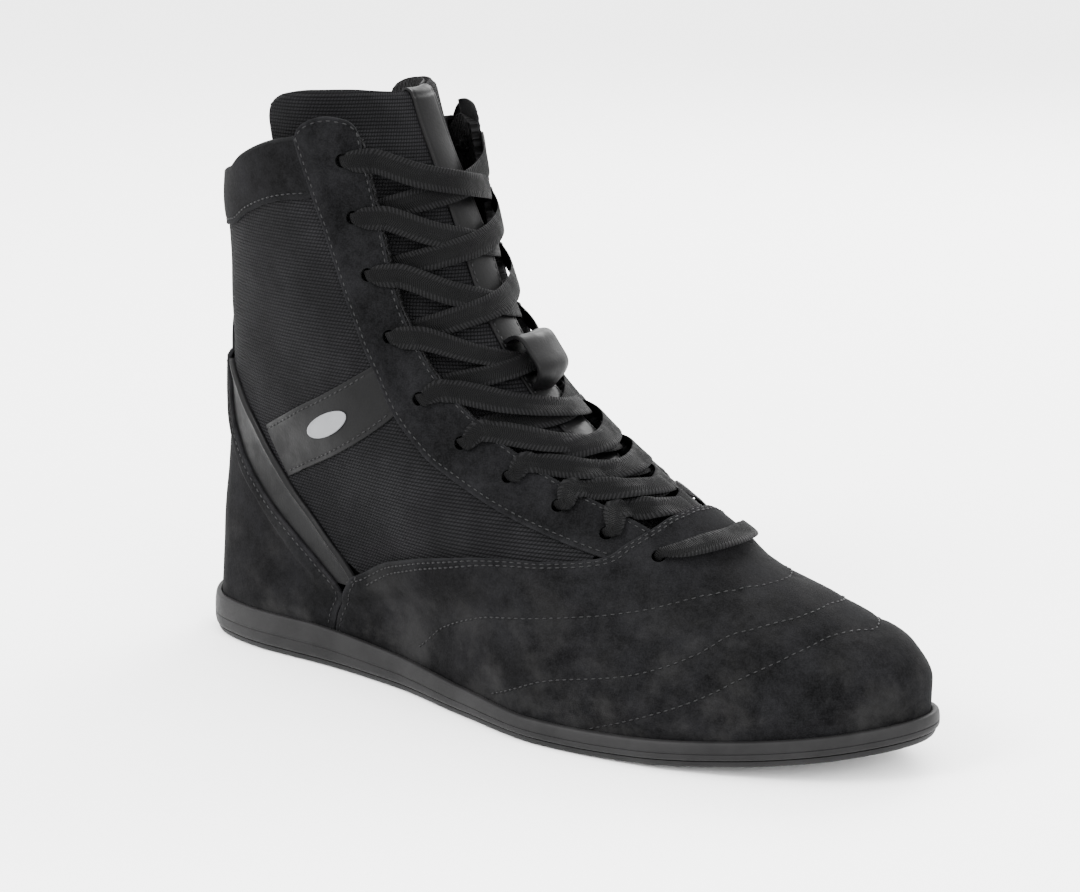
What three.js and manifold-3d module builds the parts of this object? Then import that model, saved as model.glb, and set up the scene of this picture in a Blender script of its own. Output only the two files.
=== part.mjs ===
// Boxing boot, right foot: high lace-up upper on a thin rubber cup sole.
// Millimetres, +X to the toe, +Y to the inner (medial) side, +Z up.
import * as THREE from 'three';
import { mergeVertices } from 'three/addons/utils/BufferGeometryUtils.js';
import Module from 'manifold-3d';

const wasm = await Module();
wasm.setup();

// ---------------------------------------------------------------- sizes
// Sole
const SOLE_HEEL_HEIGHT = 15; // ground to feather line under the heel
const SOLE_BALL_HEIGHT = 9; // ground to feather line under the ball
const TOE_SPRING = 9; // rise of the toe tip above the ground
const TREAD_THICKNESS = 2.6;
const TREAD_GROOVE_DEPTH = 1.1;
const TREAD_GROOVE_WIDTH = 2.2;
const TREAD_GROOVE_PITCH = 11;
const TREAD_MARGIN = 9; // plain border of the tread
const PIVOT_RADIUS = 17; // round pivot groove under the ball
const CUP_DEPTH = 3.5; // how deep the upper sits in the cup sole
const CUP_LIP = 1.4; // thickness of the cup's lip at the feather line
const CUP_BULGE = 0.9; // how far the cup swells below its lip
const BOARD_THICKNESS = 1.2;
const SOCK_THICKNESS = 3;
const CLEARANCE = 0.3; // gap between neighbouring pieces
const LAYER_GAP = 0.6; // gap between curved layers

// Materials of the upper
const SUEDE_THICKNESS = 1.1;
const BAND_THICKNESS = 0.7; // collar band and side strap
const STRAP_THICKNESS = 1.0; // diagonal heel strap
const MESH_THICKNESS = 1.4; // woven mesh on a foam backing
const SUEDE_SEAT = 0.8; // how deep a suede panel lies where nothing is under it
const STIFFENER_THICKNESS = 0.7;
const LINING_THICKNESS = 1.0;
const TONGUE_COVER_THICKNESS = 0.8;
const TONGUE_FOAM_THICKNESS = 3;
const TONGUE_GAP = 2.9; // room between lining and tongue for the lace
const TONGUE_RISE = 1.8; // how far the tongue swells into the throat
const TONGUE_TOP = 196; // height of the tongue above the feather line
const TONGUE_LEAN = 8; // how far its top leans back into the shaft
const TONGUE_STRIP_ANGLE = 10; // half width of the strip on the tongue
const COLLAR_BAND_HEIGHT = 21;
const COLLAR_RISE = 0; // added to the height of the collar all round
const LAP = 6; // how far one panel laps over the next

// Lacing
const LACE_WIDTH = 7.6;
const LACE_THICKNESS = 1.1;
const LACE_CROWN = 1.6; // extra height of the crossings over the instep
const LACE_STEP = 7.5; // longest straight piece of the lace's model
const LACE_GATHERED_WIDTH = 3;
const LACE_GATHERED_THICKNESS = 1.3;
const EYELET_DIAMETER = 4.8;
const AGLET_LENGTH = 18;
const AGLET_DIAMETER = 3;
const LOOP_WIDTH = 15; // lace keeper on the tongue, across the foot
const LOOP_HEIGHT = 19; // along the tongue
const LOOP_RISE = 4.5; // room above the last surface inside the loop
const LOOP_THICKNESS = 1;
const BADGE_LENGTH = 22;
const BADGE_WIDTH = 8;
const BADGE_THICKNESS = 0.5;

// Size of the last: heel to toe along the feather line, and widest at the ball
const LAST_LENGTH = 296.5;
const LAST_WIDTH = 92.2;

// Shape of the last, by height above the feather line
const HEIGHTS = [0, 10, 22, 36, 50, 66, 82, 100, 125, 150, 180, 205];
const BACK_X = [-147.5, -146, -146, -145.5, -145, -144.5, -143.5, -142, -140.5, -139.5, -139, -139];
const FRONT_X = [149, 149, 142, 116, 82, 54, 26, 1, -19, -29, -38, -44];
const PLAN_SCALE = [0.965, 1, 0.985, 0.95, 0.91, 0.88, 0.86, 0.85, 0.85, 0.86, 0.88, 0.9];
const SHAFT_HALF_WIDTH = [41, 41, 41, 41, 40, 39, 38, 37.3, 37.8, 39, 40.5, 41.5];
const SHAFT_SHARE = [0, 0.03, 0.12, 0.3, 0.55, 0.8, 1, 1, 1, 1, 1, 1];
// Half widths of the sole plan, every 15 degrees from heel (0) to toe (180)
const PLAN_ANGLES = [0, 15, 30, 45, 60, 75, 90, 105, 120, 135, 150, 165, 180];
const PLAN_LATERAL = [0, 17.9, 30.3, 34, 33, 35.3, 44.6, 52.6, 49.9, 41.5, 30.1, 15, 0];
const PLAN_MEDIAL = [0, 17.9, 30.3, 34, 31.2, 29, 32.9, 39.6, 39, 32.6, 24, 13, 0];
const TOE_SWING = 12; // how far the toe tip lies to the inner side

// Seam lines as [height, angle]: the angle runs from heel (0) to toe (180)
const THROAT = [
  [179, 130.5], [151, 131], [120, 130], [107, 130.5], [94, 133], [84, 136.5],
  [75, 143], [69, 149.5], [63.5, 156], [57, 161],
];
const STAY_REAR = [
  [176, 102], [150, 107], [122, 110], [100, 110.5], [86, 109], [75, 110],
  [69, 114], [62, 121], [57, 129], [53, 136], [50, 143],
];
const STAY_TOP = [
  [176, 102], [180.5, 106], [183.5, 112], [184.5, 118], [184, 125], [182, 129], [179, 130.5],
];
const VAMP_TOP = [
  [23, 67], [35, 80], [44, 98], [48, 113], [50, 129], [52, 138], [56, 147], [59, 156],
  [62, 168], [63, 180],
];
const VAMP_REAR = [[-CUP_DEPTH, 61], [7, 62], [16, 64.5], [23, 67]];
const HEEL_EDGE = [
  [-CUP_DEPTH, 59.6], [7, 60.6], [16, 62], [33, 55], [50, 46], [60, 40], [72, 34.5],
  [90, 27], [105, 17], [113, 6],
];
const STRAP_FRONT = [[19.5, 68.3], [23, 67.3], [38, 63], [53, 58], [68, 51], [78, 43], [88, 30]];
const COLLAR_TOP = [
  [156, 0], [162, 52], [168, 67], [174, 87], [176.5, 102], [178, 110],
];
const STRAP_BAND = [[53, 59.5], [89, 113], [103, 113], [70, 55.5]]; // corners of the side strap
const TONGUE_EDGE = [
  [56, 166], [64, 150], [76, 128], [92, 112], [112, 98], [142, 86], [165, 78], [178, 76.5], [185, 80],
];
const COUNTER_TOP = [[46, 0], [44, 30], [30, 50], [14, 58]];
const PUFF_REAR = 142; // angle where the toe stiffener ends
const PUFF_TOP = 20;
// Eyelets from the top down, and the nearest place on the throat edge
const EYELETS = [
  [170, 121], [151, 120.5], [132, 121], [112, 121], [93, 120.5], [81, 124], [73, 130.5],
  [66.5, 138], [59.5, 144.5], [52, 151],
];
const THROAT_PLACES = [
  [172, 131], [153, 131], [134, 131], [114, 130.5], [98, 132.5], [87, 136], [79, 142],
  [73, 149.5], [67.5, 157], [62, 166],
];
const KEEPER_ROW = 3; // the keeper loop sits between eyelets 4 and 5
// In each throat crossing the strand that starts on this side lies on top
const TOP_STRAND = [1, -1, -1, -1, 1, -1, -1, 1, 1];

// ---------------------------------------------------------------- layers
// Offsets from the last surface, outwards positive: [inner face, outer face]
const STACK = (() => {
  const base = -SUEDE_SEAT;
  const stiff = base - LAYER_GAP - STIFFENER_THICKNESS;
  const lining = stiff - LAYER_GAP - LINING_THICKNESS;
  const tongue = lining - TONGUE_GAP - TONGUE_COVER_THICKNESS;
  const band = CLEARANCE;
  const stayOverBand = band + BAND_THICKNESS + CLEARANCE;
  const overStay = CLEARANCE + SUEDE_THICKNESS + LAYER_GAP;
  return { base, stiff, lining, tongue, band, stayOverBand, overStay };
})();

// ---------------------------------------------------------------- curves
// A smooth curve through points that never overshoots them.
function through(xs, ys) {
  const n = xs.length;
  const slope = [];
  for (let i = 0; i < n - 1; i += 1) slope.push((ys[i + 1] - ys[i]) / (xs[i + 1] - xs[i]));
  const tangent = [slope[0]];
  for (let i = 1; i < n - 1; i += 1) {
    const a = slope[i - 1];
    const b = slope[i];
    tangent.push(a * b <= 0 ? 0 : (2 * a * b) / (a + b));
  }
  tangent.push(slope[n - 2]);
  return (x) => {
    if (x <= xs[0]) return ys[0];
    if (x >= xs[n - 1]) return ys[n - 1];
    let i = 0;
    while (x > xs[i + 1]) i += 1;
    const w = xs[i + 1] - xs[i];
    const s = (x - xs[i]) / w;
    const s2 = s * s;
    const s3 = s2 * s;
    return (
      ys[i] * (2 * s3 - 3 * s2 + 1) + tangent[i] * w * (s3 - 2 * s2 + s)
      + ys[i + 1] * (3 * s2 - 2 * s3) + tangent[i + 1] * w * (s3 - s2)
    );
  };
}

const clamp01 = (x) => Math.min(1, Math.max(0, x));
const lerp = (a, b, s) => a + (b - a) * s;
const ramp = (x, from, to) => clamp01((x - from) / (to - from));
const smooth = (x, from, to) => {
  const s = ramp(x, from, to);
  return s * s * (3 - 2 * s);
};
const radians = (degrees) => (degrees * Math.PI) / 180;

// A seam line run at even pace: s from 0 to 1 gives [height, angle].
function line(points) {
  const at = [0];
  for (let i = 1; i < points.length; i += 1) {
    const step = Math.hypot(points[i][0] - points[i - 1][0], points[i][1] - points[i - 1][1]);
    at.push(at[i - 1] + step);
  }
  const whole = at[at.length - 1];
  const places = at.map((x) => x / whole);
  const height = through(places, points.map((p) => p[0]));
  const angle = through(places, points.map((p) => p[1]));
  return (s) => [height(s), angle(s)];
}

// A seam line as height by angle, and as angle by height.
const heightBy = (points) => through(points.map((p) => p[1]), points.map((p) => p[0]));
const angleBy = (points) => through(points.map((p) => p[0]), points.map((p) => p[1]));

// ---------------------------------------------------------------- the last
const lengthwise = LAST_LENGTH / (FRONT_X[0] - BACK_X[0]);
const sideways = LAST_WIDTH / (Math.max(...PLAN_LATERAL) + Math.max(...PLAN_MEDIAL));
const sized = (table, size) => table.map((value) => value * size);
const backX = through(HEIGHTS, sized(BACK_X, lengthwise));
const frontX = through(HEIGHTS, sized(FRONT_X, lengthwise));
const planScale = through(HEIGHTS, PLAN_SCALE);
const shaftWidth = through(HEIGHTS, sized(SHAFT_HALF_WIDTH, sideways));
const shaftShare = through(HEIGHTS, SHAFT_SHARE);
const planLateral = through(PLAN_ANGLES, sized(PLAN_LATERAL, sideways));
const planMedial = through(PLAN_ANGLES, sized(PLAN_MEDIAL, sideways));
const soleHeight = (x) => (
  lerp(SOLE_HEEL_HEIGHT, SOLE_BALL_HEIGHT, ramp(x / lengthwise, -80, 30))
);
const lift = (x) => TOE_SPRING * Math.max(0, (x / lengthwise - 45) / 98) ** 2;
const swing = (x) => TOE_SWING * ramp(x / lengthwise, -30, 146) ** 1.3;

// Point of the last at a height above the feather line and a signed angle:
// positive on the inner side, negative on the outer side, +-180 at the toe.
function lastPoint(height, turn) {
  const t = turn > 180 ? turn - 360 : turn < -180 ? turn + 360 : turn;
  const a = Math.abs(t);
  const h = Math.max(0, height);
  const x = lerp(backX(h), frontX(h), (1 - Math.cos(radians(a))) / 2);
  const plan = (t < 0 ? planLateral(a) : planMedial(a)) * planScale(h);
  const shaft = shaftWidth(h) * Math.sin(radians(a));
  const y = Math.sign(t) * lerp(plan, shaft, shaftShare(h)) + swing(x);
  return new THREE.Vector3(x, y, height + soleHeight(x) + lift(x));
}

function lastNormal(height, turn) {
  const h = Math.max(1, height);
  const up = lastPoint(h + 1, turn).sub(lastPoint(h - 1, turn));
  const round = lastPoint(h, turn + 1).sub(lastPoint(h, turn - 1));
  const normal = up.cross(round);
  normal.z *= smooth(height, 0, 8);
  return normal.normalize();
}

function onLast(height, turn, offset) {
  return lastPoint(height, turn).addScaledVector(lastNormal(height, turn), offset);
}

// ---------------------------------------------------------------- solids
// Turns a list of points and triangles into one closed, outward geometry.
function closedGeometry(points, triangles) {
  const positions = [];
  for (const [a, b, c] of triangles) {
    for (const i of [a, b, c]) positions.push(points[i].x, points[i].y, points[i].z);
  }
  const loose = new THREE.BufferGeometry();
  loose.setAttribute('position', new THREE.Float32BufferAttribute(positions, 3));
  const merged = mergeVertices(loose, 1e-3);
  const p = merged.getAttribute('position');
  const index = merged.getIndex().array;
  const kept = [];
  let volume = 0;
  const A = new THREE.Vector3();
  const B = new THREE.Vector3();
  const C = new THREE.Vector3();
  for (let i = 0; i < index.length; i += 3) {
    const [a, b, c] = [index[i], index[i + 1], index[i + 2]];
    if (a === b || b === c || a === c) continue;
    kept.push(a, b, c);
    volume += A.fromBufferAttribute(p, a).dot(
      B.fromBufferAttribute(p, b).cross(C.fromBufferAttribute(p, c)),
    );
  }
  if (volume < 0) {
    for (let i = 0; i < kept.length; i += 3) [kept[i + 1], kept[i + 2]] = [kept[i + 2], kept[i + 1]];
  }
  merged.setIndex(kept);
  return merged;
}

// A sheet of material: place(u, v) gives [height, turn], and the two faces lie
// at inner(u, v) and outer(u, v) from the last.
function sheet({ place, nu, nv, inner, outer }) {
  const points = [];
  const triangles = [];
  const id = (side, i, j) => side * (nu + 1) * (nv + 1) + j * (nu + 1) + i;
  for (const face of [inner, outer]) {
    for (let j = 0; j <= nv; j += 1) {
      for (let i = 0; i <= nu; i += 1) {
        const [height, turn] = place(i / nu, j / nv);
        points.push(onLast(height, turn, face(i / nu, j / nv, height, turn)));
      }
    }
  }
  const quad = (a, b, c, d) => triangles.push([a, b, c], [a, c, d]);
  for (let j = 0; j < nv; j += 1) {
    for (let i = 0; i < nu; i += 1) {
      quad(id(0, i, j), id(0, i, j + 1), id(0, i + 1, j + 1), id(0, i + 1, j));
      quad(id(1, i, j), id(1, i + 1, j), id(1, i + 1, j + 1), id(1, i, j + 1));
    }
  }
  for (let i = 0; i < nu; i += 1) {
    quad(id(0, i, 0), id(0, i + 1, 0), id(1, i + 1, 0), id(1, i, 0));
    quad(id(0, i + 1, nv), id(0, i, nv), id(1, i, nv), id(1, i + 1, nv));
  }
  for (let j = 0; j < nv; j += 1) {
    quad(id(0, 0, j + 1), id(0, 0, j), id(1, 0, j), id(1, 0, j + 1));
    quad(id(0, nu, j), id(0, nu, j + 1), id(1, nu, j + 1), id(1, nu, j));
  }
  return closedGeometry(points, triangles);
}

// Fills a four-sided field between seam lines, each a function of 0..1.
function field({ bottom, top, rear, front }) {
  const corners = [bottom(0), bottom(1), top(0), top(1)];
  return (u, v) => [0, 1].map((k) => (
    lerp(rear(v)[k], front(v)[k], u) + lerp(bottom(u)[k], top(u)[k], v)
    - lerp(lerp(corners[0][k], corners[1][k], u), lerp(corners[2][k], corners[3][k], u), v)
  ));
}

const mirrored = (place, side) => (u, v) => {
  const [height, angle] = place(u, v);
  return [height, side * angle];
};

// A body built of rings round the foot; the first and last rings are capped.
// Each ring is a function of the signed angle that gives a point.
function ringBody(rings, steps) {
  const points = [];
  const triangles = [];
  const around = 2 * steps;
  const turnOf = (i) => {
    const a = 180 * (i / steps);
    return i <= steps ? a : a - 360;
  };
  for (const ring of rings) for (let i = 0; i < around; i += 1) points.push(ring(turnOf(i)));
  const id = (r, i) => r * around + ((i + around) % around);
  for (let r = 0; r + 1 < rings.length; r += 1) {
    for (let i = 0; i < around; i += 1) {
      triangles.push([id(r, i), id(r, i + 1), id(r + 1, i + 1)]);
      triangles.push([id(r, i), id(r + 1, i + 1), id(r + 1, i)]);
    }
  }
  const cap = (r, flip) => {
    for (let i = 0; i < steps; i += 1) {
      const [a, b, c, d] = [id(r, i), id(r, i + 1), id(r, -i - 1), id(r, -i)];
      const pair = [[a, c, b], [a, d, c]];
      for (const [p, q, s] of pair) triangles.push(flip ? [p, s, q] : [p, q, s]);
    }
  };
  cap(0, false);
  cap(rings.length - 1, true);
  return closedGeometry(points, triangles);
}

// A ring at an offset from the last's bottom edge, at a height over the ground
// that follows the toe spring.
const groundRing = (offset, height) => (turn) => {
  const p = flatOffset(turn, offset);
  p.z = height + lift(p.x);
  return p;
};

// A ring at an offset from the last's bottom edge, measured from the feather.
const featherRing = (offset, below) => (turn) => {
  const p = flatOffset(turn, offset);
  p.z = soleHeight(p.x) + lift(p.x) + below;
  return p;
};

function flatOffset(turn, offset) {
  const round = lastPoint(0, turn + 1).sub(lastPoint(0, turn - 1));
  const out = new THREE.Vector3(-round.y, round.x, 0).normalize();
  return lastPoint(0, turn).addScaledVector(out, offset);
}

// ---------------------------------------------------------------- booleans
function toSolid(geometry) {
  const bare = new THREE.BufferGeometry();
  bare.setAttribute('position', geometry.getAttribute('position').clone());
  if (geometry.getIndex()) bare.setIndex(geometry.getIndex().clone());
  const merged = mergeVertices(bare, 1e-4);
  return new wasm.Manifold(new wasm.Mesh({
    numProp: 3,
    vertProperties: new Float32Array(merged.getAttribute('position').array),
    triVerts: new Uint32Array(merged.getIndex().array),
  }));
}

function fromSolid(solid) {
  const mesh = solid.getMesh();
  const geometry = new THREE.BufferGeometry();
  const positions = [];
  for (let i = 0; i < mesh.vertProperties.length; i += mesh.numProp) {
    positions.push(...mesh.vertProperties.slice(i, i + 3));
  }
  geometry.setAttribute('position', new THREE.Float32BufferAttribute(positions, 3));
  geometry.setIndex([...mesh.triVerts]);
  return geometry;
}

// ---------------------------------------------------------------- finishes
const finish = (color, roughness, metalness = 0) => (
  new THREE.MeshStandardMaterial({ color, roughness, metalness })
);
const suede = finish(0x26262a, 0.92);
const leather = finish(0x56565a, 0.6);
const fabric = finish(0x1d1d20, 0.95);
const knit = finish(0x2a2a2e, 0.97);
const foam = finish(0x3a3a3c, 0.98);
const board = finish(0x8a8478, 0.9);
const stiffener = finish(0xb9b4a6, 0.8);
const rubber = finish(0x454549, 0.7);
const cord = finish(0x1b1b1e, 0.9);
const silver = finish(0xb8bcc2, 0.35, 0.8);
const plastic = finish(0x101012, 0.4);

const boot = new THREE.Group();
const add = (name, geometry, material) => {
  const mesh = new THREE.Mesh(geometry, material);
  mesh.name = name;
  boot.add(mesh);
  return mesh;
};

// ---------------------------------------------------------------- eyelet holes
function eyeletPin(height, turn) {
  const pin = new THREE.CylinderGeometry(EYELET_DIAMETER / 2, EYELET_DIAMETER / 2, 14, 8);
  pin.applyQuaternion(new THREE.Quaternion().setFromUnitVectors(
    new THREE.Vector3(0, 1, 0), lastNormal(height, turn),
  ));
  const p = lastPoint(height, turn);
  pin.translate(p.x, p.y, p.z);
  return toSolid(pin);
}

const pinsOf = (side) => EYELETS.map(([height, angle]) => eyeletPin(height, side * angle));
const eyeletPins = { 1: pinsOf(1), '-1': pinsOf(-1) };

function punched(geometry, sides) {
  let solid = toSolid(geometry);
  for (const side of sides) for (const pin of eyeletPins[side]) solid = solid.subtract(pin);
  return fromSolid(solid);
}

// ---------------------------------------------------------------- sole
const cupInner = SUEDE_THICKNESS - SUEDE_SEAT + LAYER_GAP;
const cupOuter = cupInner + CUP_LIP;

const treadRings = [
  groundRing(cupOuter - 3.2, 0),
  groundRing(cupOuter - 1.4, 0.35),
  groundRing(cupOuter - 0.5, 1.2),
  groundRing(cupOuter - 0.2, TREAD_THICKNESS),
];

// A V-shaped groove across the sole, wide enough to cross it all.
function grooveAt(x) {
  const half = TREAD_GROOVE_WIDTH / 2;
  const reach = 70;
  const drop = 14;
  const shape = new THREE.Shape();
  shape.moveTo(x + half, 0);
  shape.lineTo(x + half - drop, reach);
  shape.lineTo(x - half - drop, reach);
  shape.lineTo(x - half, 0);
  shape.lineTo(x - half - drop, -reach);
  shape.lineTo(x + half - drop, -reach);
  const bar = new THREE.ExtrudeGeometry(shape, { depth: 60, bevelEnabled: false });
  bar.translate(0, 0, -30);
  return toSolid(bar);
}

function ringGroove(x, y, radius) {
  const width = TREAD_GROOVE_WIDTH;
  const points = [
    new THREE.Vector2(radius - width / 2, -30),
    new THREE.Vector2(radius + width / 2, -30),
    new THREE.Vector2(radius + width / 2, 30),
    new THREE.Vector2(radius - width / 2, 30),
    new THREE.Vector2(radius - width / 2, -30),
  ];
  const ring = new THREE.LatheGeometry(points, 20);
  ring.rotateX(Math.PI / 2);
  ring.scale(1, 1, -1);
  ring.translate(x, y, 0);
  return closedGeometry(
    Array.from({ length: ring.getAttribute('position').count }, (_, i) => (
      new THREE.Vector3().fromBufferAttribute(ring.getAttribute('position'), i)
    )),
    Array.from({ length: ring.getIndex().count / 3 }, (_, i) => (
      [0, 1, 2].map((k) => ring.getIndex().getX(3 * i + k))
    )),
  );
}

function treadGeometry() {
  let grooves = null;
  const addGroove = (solid) => {
    grooves = grooves ? grooves.add(solid) : solid;
  };
  const [heelStart, heelEnd] = [-128 * lengthwise, -60 * lengthwise];
  const [frontStart, frontEnd] = [14 * lengthwise, 140 * lengthwise];
  for (let x = heelStart; x < heelEnd; x += TREAD_GROOVE_PITCH) addGroove(grooveAt(x));
  for (let x = frontStart; x < frontEnd; x += TREAD_GROOVE_PITCH) addGroove(grooveAt(x));
  const pivot = { x: 58 * lengthwise, y: swing(58 * lengthwise) - 4 };
  const disc = new THREE.CylinderGeometry(PIVOT_RADIUS + 3, PIVOT_RADIUS + 3, 80, 20);
  disc.rotateX(Math.PI / 2);
  disc.translate(pivot.x, pivot.y, 0);
  grooves = grooves.subtract(toSolid(disc));
  grooves = grooves.add(toSolid(ringGroove(pivot.x, pivot.y, PIVOT_RADIUS)));
  grooves = grooves.add(toSolid(ringGroove(pivot.x, pivot.y, PIVOT_RADIUS / 2)));
  const within = ringBody([
    groundRing(cupOuter - TREAD_MARGIN, -20),
    groundRing(cupOuter - TREAD_MARGIN, TREAD_GROOVE_DEPTH),
  ], 24);
  grooves = grooves.intersect(toSolid(within));
  return fromSolid(toSolid(ringBody(treadRings, 30)).subtract(grooves));
}

add('outsole_tread', treadGeometry(), rubber);

add('cup_sole', ringBody([
  groundRing(cupOuter - 0.2, TREAD_THICKNESS + CLEARANCE),
  groundRing(cupOuter + CUP_BULGE - 0.2, TREAD_THICKNESS + CLEARANCE + 0.8),
  groundRing(cupOuter + CUP_BULGE, TREAD_THICKNESS + CLEARANCE + 2.6),
  featherRing(cupOuter + CUP_BULGE / 2, -1.2),
  featherRing(cupOuter, 0),
  featherRing(cupInner, 0),
  featherRing(cupInner, -CUP_DEPTH - CLEARANCE),
], 48), rubber);

const boardEdge = STACK.lining - 1.1;
add('insole_board', ringBody([
  featherRing(boardEdge, -CUP_DEPTH),
  featherRing(boardEdge, -CUP_DEPTH + BOARD_THICKNESS),
], 26), board);
add('sockliner', ringBody([
  featherRing(boardEdge, -CUP_DEPTH + BOARD_THICKNESS + CLEARANCE),
  featherRing(boardEdge, -CUP_DEPTH + BOARD_THICKNESS + CLEARANCE + SOCK_THICKNESS - 0.6),
  featherRing(boardEdge - 0.8, -CUP_DEPTH + BOARD_THICKNESS + CLEARANCE + SOCK_THICKNESS),
], 26), foam);

// ---------------------------------------------------------------- upper
const vampTop = heightBy(VAMP_TOP);
const vampRear = angleBy(VAMP_REAR);
const heelEdge = angleBy(HEEL_EDGE);
const collarTop = heightBy(COLLAR_TOP.map(([h, a]) => [h + COLLAR_RISE, a]));
const collarBottom = (a) => collarTop(a) - COLLAR_BAND_HEIGHT;
const constant = (value) => () => value;
const plus = (face, thickness) => (...where) => face(...where) + thickness;

// Vamp: from the outer rear seam round the toe to the inner rear seam. Its top
// edge laps over the mesh, the eyestays and the straps.
const vampFace = (u, v) => lerp(STACK.base, STACK.overStay, smooth(v, 0.55, 0.8));
function vampPlace(u, v) {
  const span = 2 * u - 1;
  const guess = 180 - Math.abs(span) * (180 - vampRear(23));
  const top = vampTop(guess);
  const shoulder = top - 2 * LAP;
  const height = v < 0.6 ? lerp(-CUP_DEPTH, shoulder, v / 0.6) : lerp(shoulder, top, (v - 0.6) / 0.4);
  return [height, 180 + span * (180 - vampRear(Math.min(height, 23)))];
}
add('vamp', punched(sheet({
  place: vampPlace, nu: 34, nv: 11, inner: vampFace, outer: plus(vampFace, SUEDE_THICKNESS),
}), [1, -1]), suede);

// Heel panel: wraps the heel and laps over the diagonal straps at its edges.
const heelTop = HEEL_EDGE[HEEL_EDGE.length - 1][0];
const heelFace = (u, v, height) => {
  const edge = Math.abs(2 * u - 1);
  const lapStart = lerp(0.86, 0.55, ramp(height, 40, 90));
  const over = smooth(edge, lapStart - 0.14, lapStart) * smooth(height, 4, 16);
  const top = smooth(height, heelTop - 22, heelTop - 10);
  return lerp(STACK.base, STACK.overStay, Math.max(over, top));
};
const HEEL_ROWS = 11; // the lowest row ends at the feather line
add('heel_panel', sheet({
  place: (u, v) => {
    const row = v * HEEL_ROWS;
    const height = row <= 1 ? lerp(-CUP_DEPTH, 0, row) : lerp(0, heelTop, (row - 1) / (HEEL_ROWS - 1));
    return [height, (2 * u - 1) * heelEdge(height)];
  },
  nu: 20, nv: HEEL_ROWS, inner: heelFace, outer: plus(heelFace, SUEDE_THICKNESS),
}), suede);

// Edges of the quarter, shared by mesh, interlining and lining
const underCollar = (a, rise) => [collarBottom(a) + rise, a];
const stayInner = (s, share) => {
  const rear = line(STAY_REAR)(s);
  const front = line(THROAT)(s);
  return [lerp(rear[0], front[0], share), lerp(rear[1], front[1], share)];
};
const MESH_START = 0.12; // share of the eyestay's length above the mesh

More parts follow.
